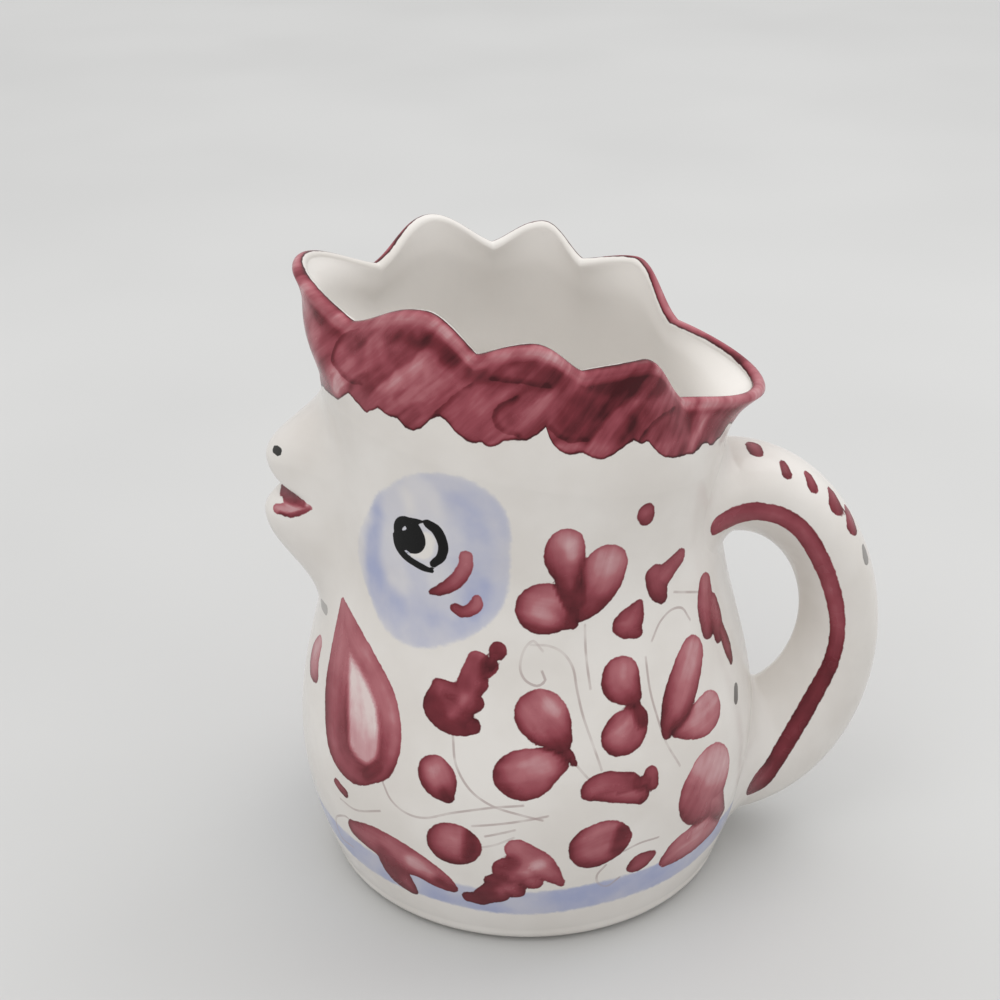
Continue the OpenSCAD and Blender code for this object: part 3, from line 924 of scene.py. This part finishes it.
def chain_at(tree, marks):
    """Round stroke through pixels of the photograph: points and half widths on the surface."""
    ways = np.gradient(np.array([mark[:2] for mark in marks], float), axis=0)
    chain = []
    for mark, way in zip(marks, ways):
        hit, normal = seen_at(tree, *mark[:2])
        half = true_width(hit, normal, mark[:2], mark[2], way) if len(mark) > 2 else 0
        chain.append([*hit, half])
    return smooth(np.array(chain))


def smooth(chain):
    """The same stroke with more places along a curve through the given ones."""
    ends = [2 * chain[:1] - chain[1:2], chain, 2 * chain[-1:] - chain[-2:-1]]
    padded = np.concatenate(ends)
    u = np.linspace(0, 1, CURVE_STEPS, endpoint=False)[:, None]
    parts = [b + u / 2 * (c - a + u * (2 * a - 5 * b + 4 * c - d + u * (3 * (b - c) + d - a)))
             for a, b, c, d in zip(padded, padded[1:], padded[2:], padded[3:])]
    return np.concatenate(parts + [chain[-1:]])


def on_far_side(chain, moved=False):
    """The same stroke on the bird's other side, moved a little if asked, as by a free hand."""
    far = chain * np.array([1, -1, 1, 1])
    if moved:
        z = far[:, 2] + FAR_LIFT
        far[:, :3] = place(wall_radius(z), turn_of(far) + FAR_TURN, z)
    return far


class Canvas:
    """Paint on the points of one surface: how far inside each kind of paint they lie, and its tone."""

    def __init__(self, points, normals):
        self.points, self.normals = points, normals
        count = len(points)
        self.paint, self.blue, self.ink = (np.full(count, BARE) for _ in range(3))
        self.tone, self.blue_tone, self.ink_tone = (np.zeros(count) for _ in range(3))
        self.grain = np.zeros((count, 3))
        self.thread_side, self.thread_far = (np.full((THREAD_LAYERS, count), -BARE) for _ in range(2))
        self.strokes = 0

    def measure(self, chain):
        """Depth inside a stroke, share of the way along it and distance to its side, for points near it."""
        middle = chain[:, :3].mean(axis=0)
        size = (np.linalg.norm(chain[:, :3] - middle, axis=1) + chain[:, 3]).max() + REACH
        near = np.flatnonzero(np.linalg.norm(self.points - middle, axis=1) < size)
        points, normals = self.points[near], self.normals[near]
        depth = np.full(len(near), BARE)
        along, side = np.zeros(len(near)), np.full(len(near), -BARE)
        for k, (start, end) in enumerate(zip(chain, chain[1:])):
            step = end[:3] - start[:3]
            share = np.clip((points - start[:3]) @ step / (step @ step), 0, 1)
            away = points - start[:3] - share[:, None] * step
            inside = start[3] + share * (end[3] - start[3]) - np.linalg.norm(away, axis=1)
            better = inside > depth
            depth[better] = inside[better]
            along[better] = (k + share[better]) / (len(chain) - 1)
            left = np.cross(normals, step / np.linalg.norm(step))
            side[better] = (away * left).sum(axis=1)[better]
        return near, depth, along, side

    def brush(self, chains, style):
        """A stroke of maroon, or some that run together: darker at the edge, the last end and over others."""
        depth = np.full(len(self.points), BARE)
        along, grain = np.zeros(len(self.points)), np.zeros((len(self.points), 3))
        for chain in chains:
            near, inside, share, side = self.measure(chain)
            better = inside > depth[near]
            chosen = near[better]
            depth[chosen], along[chosen] = inside[better], share[better]
            length = np.linalg.norm(np.diff(chain[:, :3], axis=0), axis=1).sum()
            self.strokes += 1
            seed = np.full(len(near), self.strokes * SEED_STEP)
            grain[chosen] = np.stack([share * length * SQUEEZE, side, seed], axis=1)[better]
        near = np.flatnonzero(depth > BARE)
        depth, along, grain = depth[near], along[near], grain[near]
        body, edge, end, run = STYLES[style]
        wet = np.exp(-np.maximum(depth, 0) / EDGE_W)
        offset = self.points[near] - self.points[near[depth > 0]].mean(axis=0)
        low = np.clip(offset @ POOL_WAY / POOL_SPAN, -1, 1)
        tone = body + edge * wet * (1 + low / 2) + end * along ** 2 + POOL * low
        old = self.tone[near]
        laid = np.maximum(tone, old) + OVERLAP * np.minimum(tone, old)
        self.tone[near] = old + smoothstep(depth, -run, RUN_END_SHARE * run) * (laid - old)
        newer = depth > GRAIN_DEPTH
        self.grain[near[newer]] = grain[newer]
        self.paint[near] = np.maximum(self.paint[near], depth)

    def tint(self, chain, amount, where=None):
        """A soft change of tone in paint that is already there, or in a share of it."""
        near, depth, _, _ = self.measure(chain)
        change = amount * smoothstep(depth, *TINT_DEPTHS)
        self.tone[near] += change if where is None else change * where[near]

    def add_blue(self, chain, strength):
        near, depth, _, _ = self.measure(chain)
        if strength > 0:
            self.blue[near] = np.maximum(self.blue[near], depth)
        self.blue_tone[near] += strength * smoothstep(depth, *BLUE_DEPTHS)

    def add_ink(self, chain, strength):
        near, depth, _, _ = self.measure(chain)
        self.ink_tone[near] = np.where(depth > self.ink[near], strength, self.ink_tone[near])
        self.ink[near] = np.maximum(self.ink[near], depth)

    def spare(self, chain):
        """A place in the ink that stays white."""
        near, depth, _, _ = self.measure(chain)
        self.ink[near] = np.minimum(self.ink[near], -depth)

    def whiten(self, chain):
        """A place in the blue that stays white."""
        near, depth, _, _ = self.measure(chain)
        self.blue_tone[near] *= 1 - smoothstep(depth, *WHITE_DEPTHS)

    def add_thread(self, chain, layer):
        near, depth, _, side = self.measure(chain)
        closer = -depth < self.thread_far[layer, near]
        self.thread_side[layer, near[closer]] = side[closer]
        self.thread_far[layer, near[closer]] = -depth[closer]

    def fields(self, bare):
        """All the paint by name, with none of it at the points that stay bare."""
        for values in (self.paint, self.blue, self.ink):
            values[bare] = BARE
        self.thread_far[:, bare] = -BARE
        over = np.maximum(self.tone - TONE_KNEE, 0)
        tone = np.minimum(self.tone, TONE_KNEE) + TONE_SPAN * (1 - np.exp(-over / TONE_SPAN))
        names = ("paint", "grain", "blue", "blue_tone", "ink", "ink_tone")
        fields = {"tone": tone} | {name: getattr(self, name) for name in names}
        for layer in range(THREAD_LAYERS):
            fields[f"thread_side_{layer}"] = self.thread_side[layer]
            fields[f"thread_far_{layer}"] = self.thread_far[layer]
        return fields


def both_sides(tree, marks, moved=False):
    """A stroke by pixels of the photograph, and its like on the hidden side."""
    chain = chain_at(tree, marks)
    return chain, on_far_side(chain, moved)


def brush_table(canvas, tree, table, moved=False):
    """Brush strokes on both sides of the bird: each row has a style and strokes that run together."""
    for style, *strokes in table:
        for chains in zip(*[both_sides(tree, marks, moved) for marks in strokes]):
            canvas.brush(chains, style)


def paint_table(paint, tree, table, moved=False):
    """One way of painting on both sides of the bird: each row has its strength, or layer, and a stroke."""
    for strength, marks in table:
        for chain in both_sides(tree, marks, moved):
            paint(chain, strength)


def rows_mask(jug, *parts):
    """Marks the points of some runs of the jug's parts."""
    mask = np.zeros(jug.points.shape[:2], bool)
    for first, last in parts:
        mask[jug.span(first, last)] = True
    return mask


def wash_edge(jug, tree):
    """Height of the wash's lower edge at each column: by pixels where it is seen, in dabs where not."""
    edge = np.array([seen_at(tree, x, y)[0] for x, y in WASH_EDGE])
    turn = turn_of(edge) % 360
    turn, height = np.concatenate([turn, 360 - turn]), np.concatenate([edge[:, 2], edge[:, 2]])
    hidden = np.concatenate([REAR_TURNS % 360, FRONT_TURNS])
    dabs = sum(share * np.abs(sind(number * hidden + start)) for share, number, start in SCALLOPS)
    level = np.interp(hidden, turn, height, period=360) + SCALLOP_H * (SCALLOP_MIDDLE - dabs)
    turn, height = np.concatenate([turn, hidden]), np.concatenate([height, level])
    return np.interp(jug.turn, turn, height, period=360)


def paint_wash(canvas, jug, tree):
    """The comb's wash, from a ragged edge below the seam up over the rim, lighter on the roll as painted
    light and with painted shade below it.
    """
    z = jug.points[..., 2]
    outer, rim = jug.span("outside", "comb"), jug.parts["rim"]
    depth = np.full(z.shape, BARE)
    depth[outer] = z[outer] - wash_edge(jug, tree)
    angle = np.linspace(0, 180, rim.stop - rim.start)[:, None]
    wrap = np.interp(jug.turn, *zip(*WRAP), period=360) + waves(jug.turn, WRAP_WAVES)
    depth[rim] = CREST_T / 2 * np.radians(wrap - angle)
    below = rim_height(jug.turn) - z
    # Lighter on the roll of the rim: a thinner wash there, and painted light from above
    light = smoothstep(below, ROLL_W, ROLL_LIGHT_SHARE * ROLL_W)
    tone = WASH_TONE - WASH_LIGHT * light + WASH_EDGE_TONE * np.exp(-np.abs(depth) / WASH_EDGE_W)
    tone[rim] += CREST_TONE * np.exp(-np.abs(depth[rim]) / CREST_W)
    grain = place(WAIST_R, jug.turn - np.degrees(WASH_LEAN * z / WAIST_R), z * WASH_SQUEEZE)
    washed = depth.ravel() > canvas.paint
    canvas.paint[washed] = depth.ravel()[washed]
    canvas.tone[washed] = tone.ravel()[washed]
    canvas.grain[washed] = grain.reshape(-1, 3)[washed]
    # The darkening tints, painted shade under the roll, are kept off the roll itself
    under_roll = smoothstep(below, ROLL_SHADE_SHARE * ROLL_W, ROLL_W).ravel()

    def tint(chain, amount):
        canvas.tint(chain, amount, under_roll if amount > 0 else None)

    paint_table(tint, tree, WASH_SHADE_AND_HIGHLIGHT_TINTS)
    paint_table(canvas.add_thread, tree, [(WASH_LAYER, marks) for marks in WASH_LINES])


def paint_band(canvas, jug, tree):
    """The blue band round the foot."""
    low, high = (seen_at(tree, *mark)[0].z for mark in (BAND_LOW_PX, BAND_HIGH_PX))
    z = jug.points[..., 2] + waves(jug.turn, BAND_WAVES)
    depth = np.where(rows_mask(jug, ("heel", "outside")), np.minimum(z - low, high - z), BARE).ravel()
    canvas.blue = np.maximum(canvas.blue, depth)
    canvas.blue_tone += BAND_STRENGTH * smoothstep(depth, *BAND_DEPTHS)


def paint_jug(jug, handle):
    """All the paint on the body, the beak and the comb, and the start of the handle's stripe."""
    tree = tree_of(jug.points, jug.span("heel", "rim"))
    canvas = Canvas(jug.points.reshape(-1, 3), jug.normals.reshape(-1, 3))
    paint_table(canvas.add_blue, tree, BLUE)
    paint_band(canvas, jug, tree)
    for chain in both_sides(tree, EYE_WHITE):
        canvas.whiten(chain)
    for layer, threads in enumerate(THREADS):
        paint_table(canvas.add_thread, tree, [(layer, marks) for marks in threads], moved=True)
    brush_table(canvas, tree, FACE)
    canvas.brush([jug.front_line(*line) for line in MOUTH_LINES], "mouth")
    brush_table(canvas, tree, SPRIGS, moved=True)
    paint_table(canvas.tint, tree, SPRIG_TINTS, moved=True)
    brush_table(canvas, tree_of(handle, np.arange(len(handle))), [("stripe", STRIPE)])
    paint_table(canvas.add_ink, tree, INK)
    for marks in EYE_LIGHTS:
        for chain in both_sides(tree, marks):
            canvas.spare(chain)
    paint_wash(canvas, jug, tree)
    # The inside rows stay bare of paint, and their glaze is made paler as painted light
    inside = rows_mask(jug, ("comb_inside", "floor"))
    bare = inside | rows_mask(jug, ("underside", "underside"))
    return canvas.fields(bare.ravel()) | {"inside": inside.ravel().astype(float)}


def paint_handle(sheet, normals):
    """The stripe along both edges of the handle and the dashes on its spine."""
    tree = tree_of(sheet, np.arange(len(sheet)))
    canvas = Canvas(sheet.reshape(-1, 3), normals.reshape(-1, 3))
    brush_table(canvas, tree, [("stripe", STRIPE)])
    for marks in DASHES:
        canvas.brush([chain_at(tree, marks)], "leaf")
    strength, marks = GREY_DASH
    canvas.add_ink(chain_at(tree, marks), strength)
    return canvas.fields(np.zeros(len(canvas.points), bool))


def make_piece(name, points, quads, uvs, fields, normals, caps=()):
    """A smooth mesh of quads, and of caps, with its paint as attributes."""
    mesh = bpy.data.meshes.new(name)
    faces = quads.tolist() + [list(cap) for cap, _ in caps]
    mesh.from_pydata((points * MM).tolist(), [], faces)
    for field, values in fields.items():
        vector = values.ndim == 2
        attribute = mesh.attributes.new(field, "FLOAT_VECTOR" if vector else "FLOAT", "POINT")
        attribute.data.foreach_set("vector" if vector else "value", values.astype(np.float32).ravel())
    corners = np.concatenate([uvs.reshape(-1, 2)] + [np.asarray(cap_uv) for _, cap_uv in caps])
    layer = mesh.uv_layers.new(name="OFBake")
    layer.data.foreach_set("uv", corners.astype(np.float32).ravel())
    mesh.polygons.foreach_set("use_smooth", np.ones(len(mesh.polygons), bool))
    mesh.normals_split_custom_set_from_vertices(normals.tolist())
    mesh.update()
    piece = bpy.data.objects.new(name, mesh)
    bpy.context.scene.collection.objects.link(piece)
    return piece


def sheet_uvs(points, rows, columns, closed):
    """Map of a sheet's quads: the columns run across, the rows up by their length."""
    ring = points.reshape(rows, columns, 3)
    steps = np.linalg.norm(np.roll(ring, -1, axis=0) - ring, axis=2).mean(axis=1)
    steps = steps if closed else steps[:-1]
    v = np.concatenate([[0], np.cumsum(steps)]) / steps.sum()
    i = np.arange(columns)
    u = np.stack([i, i + 1, i + 1, i], axis=-1) / columns
    low, high = v[:-1, None], v[1:, None]
    v_corners = np.stack([low, low, high, high], axis=-1)
    u_corners = np.broadcast_to(u, (len(steps), columns, 4))
    return np.stack([u_corners, np.broadcast_to(v_corners, u_corners.shape)], axis=-1)


def ring_piece(name, sheet, rows, fields, normals, closed=True):
    """A piece from rows of a sheet: either its last row meets its first, or both ends are capped."""
    columns = sheet.shape[1]
    points = sheet[rows].reshape(-1, 3)
    picked = {key: pick(values, sheet, rows) for key, values in fields.items()}
    quads = quads_of(len(rows), columns, closed)
    uvs = sheet_uvs(points, len(rows), columns, closed)
    caps = []
    if not closed:
        first = np.arange(columns)
        last = first + (len(rows) - 1) * columns
        around = np.stack([first / columns, np.zeros(columns)], axis=-1)
        caps = [(first[::-1], around), (last, around + [0, 1])]
    return make_piece(name, points, quads, uvs, picked, normals[rows].reshape(-1, 3), caps)


def pick(values, sheet, rows):
    """Values of some rows of a sheet."""
    tail = values.shape[1:]
    return values.reshape(sheet.shape[:2] + tail)[rows].reshape((-1,) + tail)


def beak_quads(jug, upper):
    """Which quads of the outside belong to one half of the beak."""
    rows = jug.span("outside", "outside")
    z, bump = jug.points[rows, :, 2], jug.bump[rows]
    half = z >= MOUTH_Z if upper else z <= MOUTH_Z
    inside = half & (bump > 0)
    right = np.roll(inside, -1, axis=1)
    return (inside & right)[:-1] & (inside & right)[1:]


def beak_piece(name, jug, fields, upper):
    """One half of the beak: its front from the jug's sheet, its back in the neck and an edge between them."""
    rows = jug.span("outside", "outside")
    corners = quads_of(len(rows), COLUMNS)[beak_quads(jug, upper).ravel()]
    used, number = np.unique(corners, return_inverse=True)
    number, count = number.reshape(corners.shape), len(used)
    normal = jug.normals[rows].reshape(-1, 3)[used]
    front = jug.points[rows].reshape(-1, 3)[used]
    from_mouth = BEAK_BED / 6 if upper else -BEAK_BED / 6
    back = jug.bare[rows].reshape(-1, 3)[used] - normal * BEAK_BED / 3 + [0, 0, from_mouth]
    steps = np.stack([number, np.roll(number, -1, axis=1)], axis=-1).reshape(-1, 2).tolist()
    known = {tuple(step) for step in steps}
    rim = np.array([(a, b) for a, b in steps if (b, a) not in known])
    sides = np.concatenate([rim[:, ::-1], rim + count], axis=1)
    quads = np.concatenate([number, number[:, ::-1] + count, sides])
    j, i = np.divmod(used, COLUMNS)
    uv = np.stack([(i - i.min()) / np.ptp(i) / 2, (j - j.min()) / np.ptp(j)], axis=-1)
    uvs = np.concatenate([uv[number], uv[number[:, ::-1]] + [0.5, 0], uv[sides % count]])
    picked = {key: pick(values, jug.points, rows)[used] for key, values in fields.items()}
    doubled = {key: np.concatenate([values, values]) for key, values in picked.items()}
    normals = np.concatenate([normal, -normal])
    return make_piece(name, np.concatenate([front, back]), quads, uvs, doubled, normals)


def body_points(jug):
    """The jug's sheet with the plain wall under the beak and a lip under the comb, a little below both."""
    points = jug.points.copy()
    rows = jug.span("outside", "outside")
    whole = beak_quads(jug, True) | beak_quads(jug, False)
    used = np.zeros(len(rows) * COLUMNS, int)
    np.add.at(used, quads_of(len(rows), COLUMNS)[whole.ravel()].ravel(), 1)
    used = used.reshape(len(rows), COLUMNS, 1)
    outward = place(np.ones(COLUMNS), jug.turn, 0.0)
    under = np.where(used == 4, jug.bare[rows] - outward * BEAK_BED, points[rows] - outward * EDGE_BED)
    points[rows] = np.where(used > 0, under, points[rows])
    lips = jug.span("comb", "comb_inside")[:-1]
    points[lips] -= jug.normals[lips] * LIP_BED
    return points


def linear(color):
    """A colour as the eye sees it, from 0 to 255, as the renderer's own numbers."""
    c = np.array(color) / 255
    return (*np.where(c <= 0.04045, c / 12.92, ((c + 0.055) / 1.055) ** 2.4).tolist(), 1.0)


class Graph:
    """Nodes of one material."""

    def __init__(self, name):
        self.material = bpy.data.materials.new(name)
        self.material.use_nodes = True
        self.tree = self.material.node_tree
        self.shader = self.tree.nodes["Principled BSDF"]
        self.where = self.node("ShaderNodeTexCoord").outputs["Object"]

    def put(self, socket, value):
        """Links a socket of another node, or writes a plain value."""
        if isinstance(value, bpy.types.NodeSocket):
            self.tree.links.new(value, socket)
        else:
            socket.default_value = value

    def shade(self, **values):
        """Sets inputs of the shader, with underscores for spaces in their names."""
        for key, value in values.items():
            self.put(self.shader.inputs[key.replace("_", " ")], value)

    def node(self, kind, inputs=(), **settings):
        made = self.tree.nodes.new(kind)
        for key, value in settings.items():
            setattr(made, key, value)
        for key, value in dict(inputs).items():
            self.put(made.inputs[key], value)
        return made

    def field(self, name, output="Fac"):
        return self.node("ShaderNodeAttribute", attribute_name=name).outputs[output]

    def math(self, operation, *values):
        """A sum or product of some values, or another operation on one or two."""
        result, *others = values
        for other in others or [0.0]:
            result = self.node("ShaderNodeMath", {0: result, 1: other}, operation=operation).outputs[0]
        return result

    def plus(self, *values):
        return self.math("ADD", *values)

    def times(self, *values):
        return self.math("MULTIPLY", *values)

    def vector(self, operation, a, b):
        return self.node("ShaderNodeVectorMath", {0: a, 1: b}, operation=operation).outputs[0]

    def ramp(self, value, low, high, to_low=0.0, to_high=1.0):
        """A smooth step of a value."""
        inputs = {"Value": value, "From Min": low, "From Max": high, "To Min": to_low, "To Max": to_high}
        return self.node("ShaderNodeMapRange", inputs, interpolation_type="SMOOTHSTEP").outputs["Result"]

    def mix(self, share, a, b):
        made = self.node("ShaderNodeMix", data_type="RGBA")
        for key, value in (("Factor_Float", share), ("A_Color", a), ("B_Color", b)):
            self.put(next(s for s in made.inputs if s.identifier == key), value)
        return next(s for s in made.outputs if s.identifier == "Result_Color")

    def noise(self, scale, detail, vector=None, output="Fac"):
        inputs = {"Vector": vector or self.where, "Scale": scale, "Detail": detail}
        return self.node("ShaderNodeTexNoise", inputs).outputs[output]

    def even_noise(self, scale, detail, vector=None):
        """Noise about zero."""
        return self.math("SUBTRACT", self.noise(scale, detail, vector), 0.5)

    def colors(self, value, stops):
        made = self.node("ShaderNodeValToRGB", {"Fac": value})
        ramp = made.color_ramp
        while len(ramp.elements) < len(stops):
            ramp.elements.new(0.5)
        for element, (place_share, color) in zip(ramp.elements, stops):
            element.position = place_share
            element.color = linear(color)
        return made.outputs["Color"]


def glaze_color(g, ragged, broken):
    """White glaze with its clouds, a paler inside that is painted light, blue washes and tendrils."""
    cloud = g.ramp(g.noise(*CLOUD_NOISE), *MOTTLE_RAMP)
    color = g.mix(cloud, linear(GLAZE_LIGHT), linear(GLAZE_DEEP))
    # Paler glaze on the inside rows: painted light
    color = g.mix(g.field("inside"), color, linear(GLAZE_INSIDE_PAINTED_LIGHT))
    water = g.ramp(g.noise(*WATER_NOISE), *WATER_RAMP)
    blue_edge = g.ramp(g.plus(g.field("blue"), ragged), *BLUE_RAMP)
    color = g.mix(g.times(blue_edge, g.field("blue_tone"), water), color, linear(BLUE_GLAZE))
    for layer in range(len(THREADS)):
        line = g.ramp(g.math("ABSOLUTE", g.field(f"thread_side_{layer}")), *THREAD_RAMP)
        end = g.ramp(g.field(f"thread_far_{layer}"), *THREAD_END_RAMP)
        color = g.mix(g.times(line, end, broken), color, linear(THREAD_GREY))
    return color


def dab_tone(g):
    """Tone of the dabs of a broad brush, about zero."""
    bend = g.vector("MULTIPLY", g.noise(*BEND_NOISE, output="Color"), (DAB_BEND,) * 3)
    place_bent = g.vector("ADD", g.field("grain", "Vector"), bend)
    inputs = {"Vector": place_bent, "Scale": DAB_SCALE, "Smoothness": DAB_SMOOTHNESS}
    cells = g.node("ShaderNodeTexVoronoi", inputs, feature="SMOOTH_F1")
    dab = g.node("ShaderNodeSeparateColor", {"Color": cells.outputs["Color"]}).outputs[0]
    return g.math("SUBTRACT", dab, 0.5)


def wash_line(g, ragged, broken):
    """Tone of the wet edges where brush strokes of the wash end."""
    side = g.plus(g.field(f"thread_side_{WASH_LAYER}"), g.times(ragged, LINE_RAGGED))
    end = g.ramp(g.field(f"thread_far_{WASH_LAYER}"), *LINE_END_RAMP)
    return g.times(g.ramp(side, *LINE_NEAR_RAMP), g.ramp(side, *LINE_FAR_RAMP), end, broken, LINE_TONE)


def painted_glaze(name):
    """White glaze under brush paint: the paint's edges and tones come from the mesh's attributes."""
    streak, fineness, wet, dabs = GLAZES[name]
    g = Graph(name)
    ragged = g.even_noise(*RAGGED_NOISE)
    broken = g.ramp(g.noise(*BREAK_NOISE), *BREAK_RAMP)
    color = glaze_color(g, ragged, broken)

    grain = g.even_noise(fineness, GRAIN_DETAIL, g.field("grain", "Vector"))
    pool = g.even_noise(*POOL_NOISE)
    tone = g.plus(g.field("tone"), g.times(grain, streak), g.times(pool, POOL_TONE))
    if dabs:
        tone = g.plus(tone, g.times(dab_tone(g), dabs))
    edge = g.plus(g.field("paint"), g.times(ragged, PAINT_RAGGED))
    painted = g.ramp(edge, *PAINT_RAMP)
    tone = g.plus(tone, g.ramp(edge, *WET_RAMP, wet, 0.0), wash_line(g, ragged, broken))
    color = g.mix(painted, color, g.colors(tone, PINK_TO_MAROON))

    ink = g.ramp(g.plus(g.field("ink"), g.times(ragged, INK_RAGGED)), *INK_RAMP)
    color = g.mix(g.times(ink, g.field("ink_tone")), color, linear(INK_BLACK))

    rough = g.plus(g.ramp(g.noise(*GLOSS_NOISE), *GLOSS_RAMP), g.times(painted, PAINT_ROUGHNESS))
    height = g.plus(g.noise(*WAVE_NOISE), g.times(g.noise(*PIT_NOISE), PIT_SHARE))
    bump = g.node("ShaderNodeBump", {"Height": height, "Strength": BUMP_STRENGTH, "Distance": BUMP_M})
    g.shade(Base_Color=color, Roughness=rough, Normal=bump.outputs["Normal"])
    g.shade(Specular_IOR_Level=GLAZE_SPECULAR)
    return g.material


def floor_material():
    """Plain pale table top with a faint mottle."""
    g = Graph("pale_floor")
    shade = g.ramp(g.noise(*FLOOR_NOISE), *MOTTLE_RAMP)
    g.shade(Base_Color=g.mix(shade, linear(FLOOR_PALE), linear(FLOOR_DEEP)), Roughness=FLOOR_ROUGHNESS)
    return g.material


def build_pieces():
    """One piece for each CAD node, on the jug's one sheet of points."""
    jug = Jug()
    body = body_points(jug)
    handle, handle_normals = handle_sheet()
    fields = paint_jug(jug, handle)
    glazes = {name: painted_glaze(name) for name in GLAZES}
    joint = jug.parts["outside"]
    seam_row = joint.stop - 1
    under = np.concatenate([jug.span("underside", "heel"), [joint.start]])
    floor_edge = jug.parts["inside"].stop - 1
    base_rows = np.concatenate([under, [floor_edge], jug.span("floor", "floor")])
    comb_in = jug.span("comb_inside", "comb_inside")
    body_rows = np.concatenate([jug.span("outside", "outside"), jug.span("comb", "comb")[:LIP_ROWS],
                                comb_in[-LIP_ROWS - 1:], jug.span("inside", "inside")])
    comb_rows = np.concatenate([[seam_row], jug.span("comb", "comb_inside")])
    pieces = {
        "base_disc": ring_piece("glazed_base", jug.points, base_rows, fields, jug.normals, closed=False),
        "body_wall": ring_piece("glazed_body", body, body_rows, fields, jug.normals),
        "comb_rim": ring_piece("painted_comb", jug.points, comb_rows, fields, jug.normals),
        "upper_beak": beak_piece("glazed_upper_beak", jug, fields, True),
        "lower_beak": beak_piece("glazed_lower_beak", jug, fields, False),
        "handle": ring_piece("glazed_handle", handle, np.arange(len(handle)),
                             paint_handle(handle, handle_normals), handle_normals, closed=False),
    }
    for node, piece in pieces.items():
        slot = "comb_glaze" if node == "comb_rim" else "white_glaze"
        piece.data.materials.append(glazes[slot])
        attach(piece, "root")
        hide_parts(node)


def add_light(name, place_m, size_m, power_w):
    """A soft square light."""
    light = bpy.data.lights.new(name, "AREA")
    light.shape = "SQUARE"
    light.size = size_m
    light.energy = power_w
    lamp = bpy.data.objects.new(name, light)
    lamp.location = place_m
    lamp.rotation_euler = (Vector(LIGHT_AIM_M) - Vector(place_m)).to_track_quat("-Z", "Y").to_euler()
    bpy.context.scene.collection.objects.link(lamp)


def build_floor():
    """A wide floor under the jug."""
    mesh = bpy.data.meshes.new("floor")
    corners = [(x * FLOOR_HALF_M, y * FLOOR_HALF_M, 0) for x, y in ((-1, -1), (1, -1), (1, 1), (-1, 1))]
    mesh.from_pydata(corners, [], [(0, 1, 2, 3)])
    mesh.materials.append(floor_material())
    floor = bpy.data.objects.new("floor", mesh)
    bpy.context.scene.collection.objects.link(floor)


def build_sky():
    """A white sky, brighter overhead than at the horizon."""
    world = bpy.data.worlds.new("sky")
    world.use_nodes = True
    nodes, links = world.node_tree.nodes, world.node_tree.links
    sky = nodes["Background"]
    sky.inputs["Color"].default_value = (1.0, 1.0, 1.0, 1.0)
    split = nodes.new("ShaderNodeSeparateXYZ")
    links.new(nodes.new("ShaderNodeTexCoord").outputs["Generated"], split.inputs[0])
    rise = nodes.new("ShaderNodeMapRange")
    rise.inputs["To Min"].default_value = SKY_LOW
    rise.inputs["To Max"].default_value = SKY_HIGH
    links.new(split.outputs["Z"], rise.inputs["Value"])
    links.new(rise.outputs["Result"], sky.inputs["Strength"])
    bpy.context.scene.world = world


def build_camera():
    """The photograph's camera."""
    lens = bpy.data.cameras.new("photo_camera")
    lens.sensor_width = SENSOR_MM
    lens.lens = FOCAL_PX / PHOTO_PX * SENSOR_MM
    camera = bpy.data.objects.new("photo_camera", lens)
    matrix = camera_matrix()
    matrix.translation = CAMERA_POS * MM
    camera.matrix_world = matrix
    bpy.context.scene.collection.objects.link(camera)
    bpy.context.scene.camera = camera


build_pieces()
build_floor()
for light_name, light_values in LIGHTS.items():
    add_light(light_name, *light_values)
build_sky()
build_camera()
bpy.context.scene.view_settings.view_transform = "Standard"
